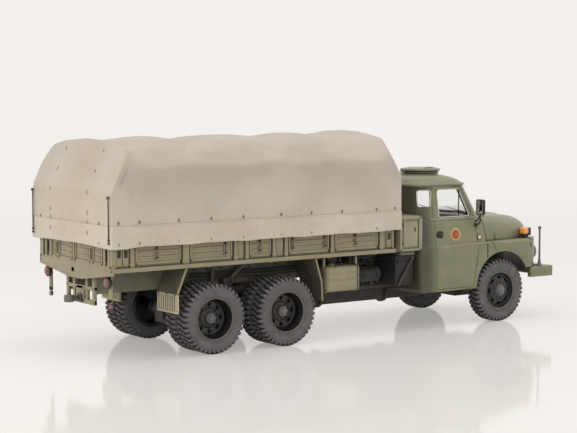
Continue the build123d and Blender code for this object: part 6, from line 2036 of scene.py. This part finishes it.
def build_springs():
    """Leaf springs: a stack of bent leaves with clips and a clamp in the middle."""
    form = Form()
    high = node_mm("springs")[1]
    # Columns: middle, half length of the longest leaf, underside of the stack
    for middle, reach, bottom in ((-45.125, 10.4, 17.6), (76.4, 14.0, 18.2)):
        for hand in (-1, 1):
            y0, y1 = hand * 10.6, hand * high[1]
            for leaf in range(6):
                half = reach * (leaf + 1.4) / 6.4
                z = bottom + 0.6 * leaf
                sag = 0.5 * (half / reach) ** 2
                top = [(middle + half * t, z + 0.52 + sag * t * t) for t in np.linspace(-1, 1, 15)]
                under = [(x, b - 0.52) for x, b in reversed(top)]
                form.prism(top + under, "y", y0, y1, edge=0.08, steps=1)
            form.box((middle - 1.7, hand * 10.1, bottom - 0.1),
                     (middle + 1.7, hand * (high[1] - 0.05), bottom + 0.5), edge=0.2)
            form.box((middle - 1.9, hand * 10.0, bottom + 3.4),
                     (middle + 1.9, hand * (high[1] - 0.05), 24.6), edge=0.3)
            for x in (middle - 1.3, middle + 1.3):
                form.rod((x, hand * (high[1] - 0.4), bottom - 0.1),
                         (x, hand * (high[1] - 0.4), bottom + 4.4), 0.3, sides=10)
            for x in (middle - 0.6 * reach, middle + 0.6 * reach):
                form.box((x - 0.4, hand * 10.55, bottom + 2.2),
                         (x + 0.4, hand * (high[1] + 0.02), bottom + 4.1), edge=0.12)
    form.piece("springs_leafed", chassis_black, stands_for=["springs"])


def build_chassis():
    """Frame rails with bolts, lines, brackets and struts, and the central tube with its joints."""
    softened("chassis_frame", 0.2, frame_olive)
    softened("backbone_tube", 0.35, chassis_black)
    bolts, lines, struts = Form(), Form(), Form()
    for x in np.arange(-58.0, 92.0, 6.0):
        for hand in (-1, 1):
            for z in (23.4, 27.9):
                bolts.lathe([(0.36, -0.1), (0.36, 0.2), (0.22, 0.3), (0, 0.3)],
                            (float(x), hand * 10.0, z), sides=6, hand=hand)
    for x in (-52.0, -38.0, -20.0, 4.0, 36.0, 60.0):
        lines.lathe([(3.2, -0.7), (4.1, -0.7), (4.1, 0.7), (3.2, 0.7)], (x, 0, 12.4), axis="x", sides=36,
                    closed=True)
        for nth in range(8):
            angle = 2 * math.pi * (nth + 0.5) / 8
            lines.lathe([(0.34, 0.6), (0.34, 0.95), (0, 0.95)],
                        (x, 3.7 * math.cos(angle), 12.4 + 3.7 * math.sin(angle)), axis="x", sides=6)
    for hand in (-1, 1):
        for y, z, r in ((10.7, 26.6, 0.36), (10.6, 25.5, 0.28), (11.0, 24.4, 0.24)):
            path = [(x, hand * (y + 0.14 * math.sin(0.31 * x)),
                     z + 0.18 * math.sin(0.23 * x + y)) for x in np.arange(-60.0, 36.0, 6.0)]
            lines.tube(path, r, sides=8, smooth=3)
        lines.box((6.2, hand * 10.2, 15.6), (35.6, hand * 11.6, 17.2), edge=0.3)
        lines.box((6.2, hand * 10.2, 16.8), (7.6, hand * 11.4, 23.0), edge=0.25)
        lines.box((21.9, hand * 10.1, 16.8), (23.3, hand * 11.4, 23.0), edge=0.25)
        lines.tube([(23.6, hand * 14.2, 18.0), (22.6, hand * 13.4, 20.4), (21.8, hand * 12.2, 25.6)], 0.5,
                   sides=10)
        lines.lathe([(1.1, -0.5), (2.0, -0.5), (2.2, 0.0), (2.0, 0.5), (1.1, 0.5)],
                    (15.2, hand * 13.4, 27.4), sides=32, closed=True)
        lines.box((8.6, hand * 11.0, 26.4), (12.6, hand * 15.2, 29.0), edge=0.35, steps=3)
        lines.rod((10.6, hand * 15.0, 27.7), (10.6, hand * 16.2, 27.7), 0.9, sides=20, edge=0.15)
        lines.tube([(12.4, hand * 13.2, 27.6), (14.4, hand * 15.0, 28.6), (18.4, hand * 15.4, 27.8),
                    (22.6, hand * 13.6, 28.4)], 0.3, sides=8)
        struts.rod((-51.6, hand * 13.4, 31.2), (-50.8, hand * 11.0, 23.2), 0.7, sides=16, edge=0.1)
        struts.rod((-36.6, hand * 14.0, 31.0), (-44.2, hand * 11.0, 23.0), 0.7, sides=16, edge=0.1)
    struts.piece("bed_struts", frame_olive, slot="underframe_black")
    bolts.piece("chassis_bolts", chassis_black)
    lines.piece("chassis_lines_and_brackets", chassis_black)


def build_half_axles():
    """Half axles with their collars and brake pots."""
    softened("half_axles", 0.15, chassis_black)
    axles = Form()
    for axle in ("front", "mid", "rear"):
        x = axle_x(axle)
        reach = 10.8 if axle != "front" else 17.6
        for hand in (-1, 1):
            axles.lathe([(2.3, 4.4), (2.75, 4.6), (2.75, 5.3), (2.3, 5.5), (2.25, reach - 1.4),
                         (2.7, reach - 1.2), (2.7, reach - 0.6)], (x, 0, TYRE_R), sides=32, hand=hand)
            axles.lathe([(0, 0.5), (1.5, 0.5), (1.8, 0.2), (1.9, -1.6), (0, -1.9)],
                        (x + 3.4, hand * (reach - 2.2), 17.0), axis="x", sides=28)
            axles.tube([(x + 1.5, hand * (reach - 2.2), 17.0), (x - 0.6, hand * (reach - 1.8), 15.6)],
                       0.36, sides=8, smooth=0)
    axles.piece("half_axle_collars", chassis_black)


build_guards()
build_fuel_tanks()
build_air_tanks()
build_battery_boxes()
build_gearbox()
build_springs()
build_chassis()
build_half_axles()


# Finishes of the solids, by the record's material slots
for subpart in frame["record"]["subparts"]:
    solid = nodes[subpart["node"]]
    solid.data.materials.clear()
    solid.data.materials.append(slots[subpart["material_slot"]])
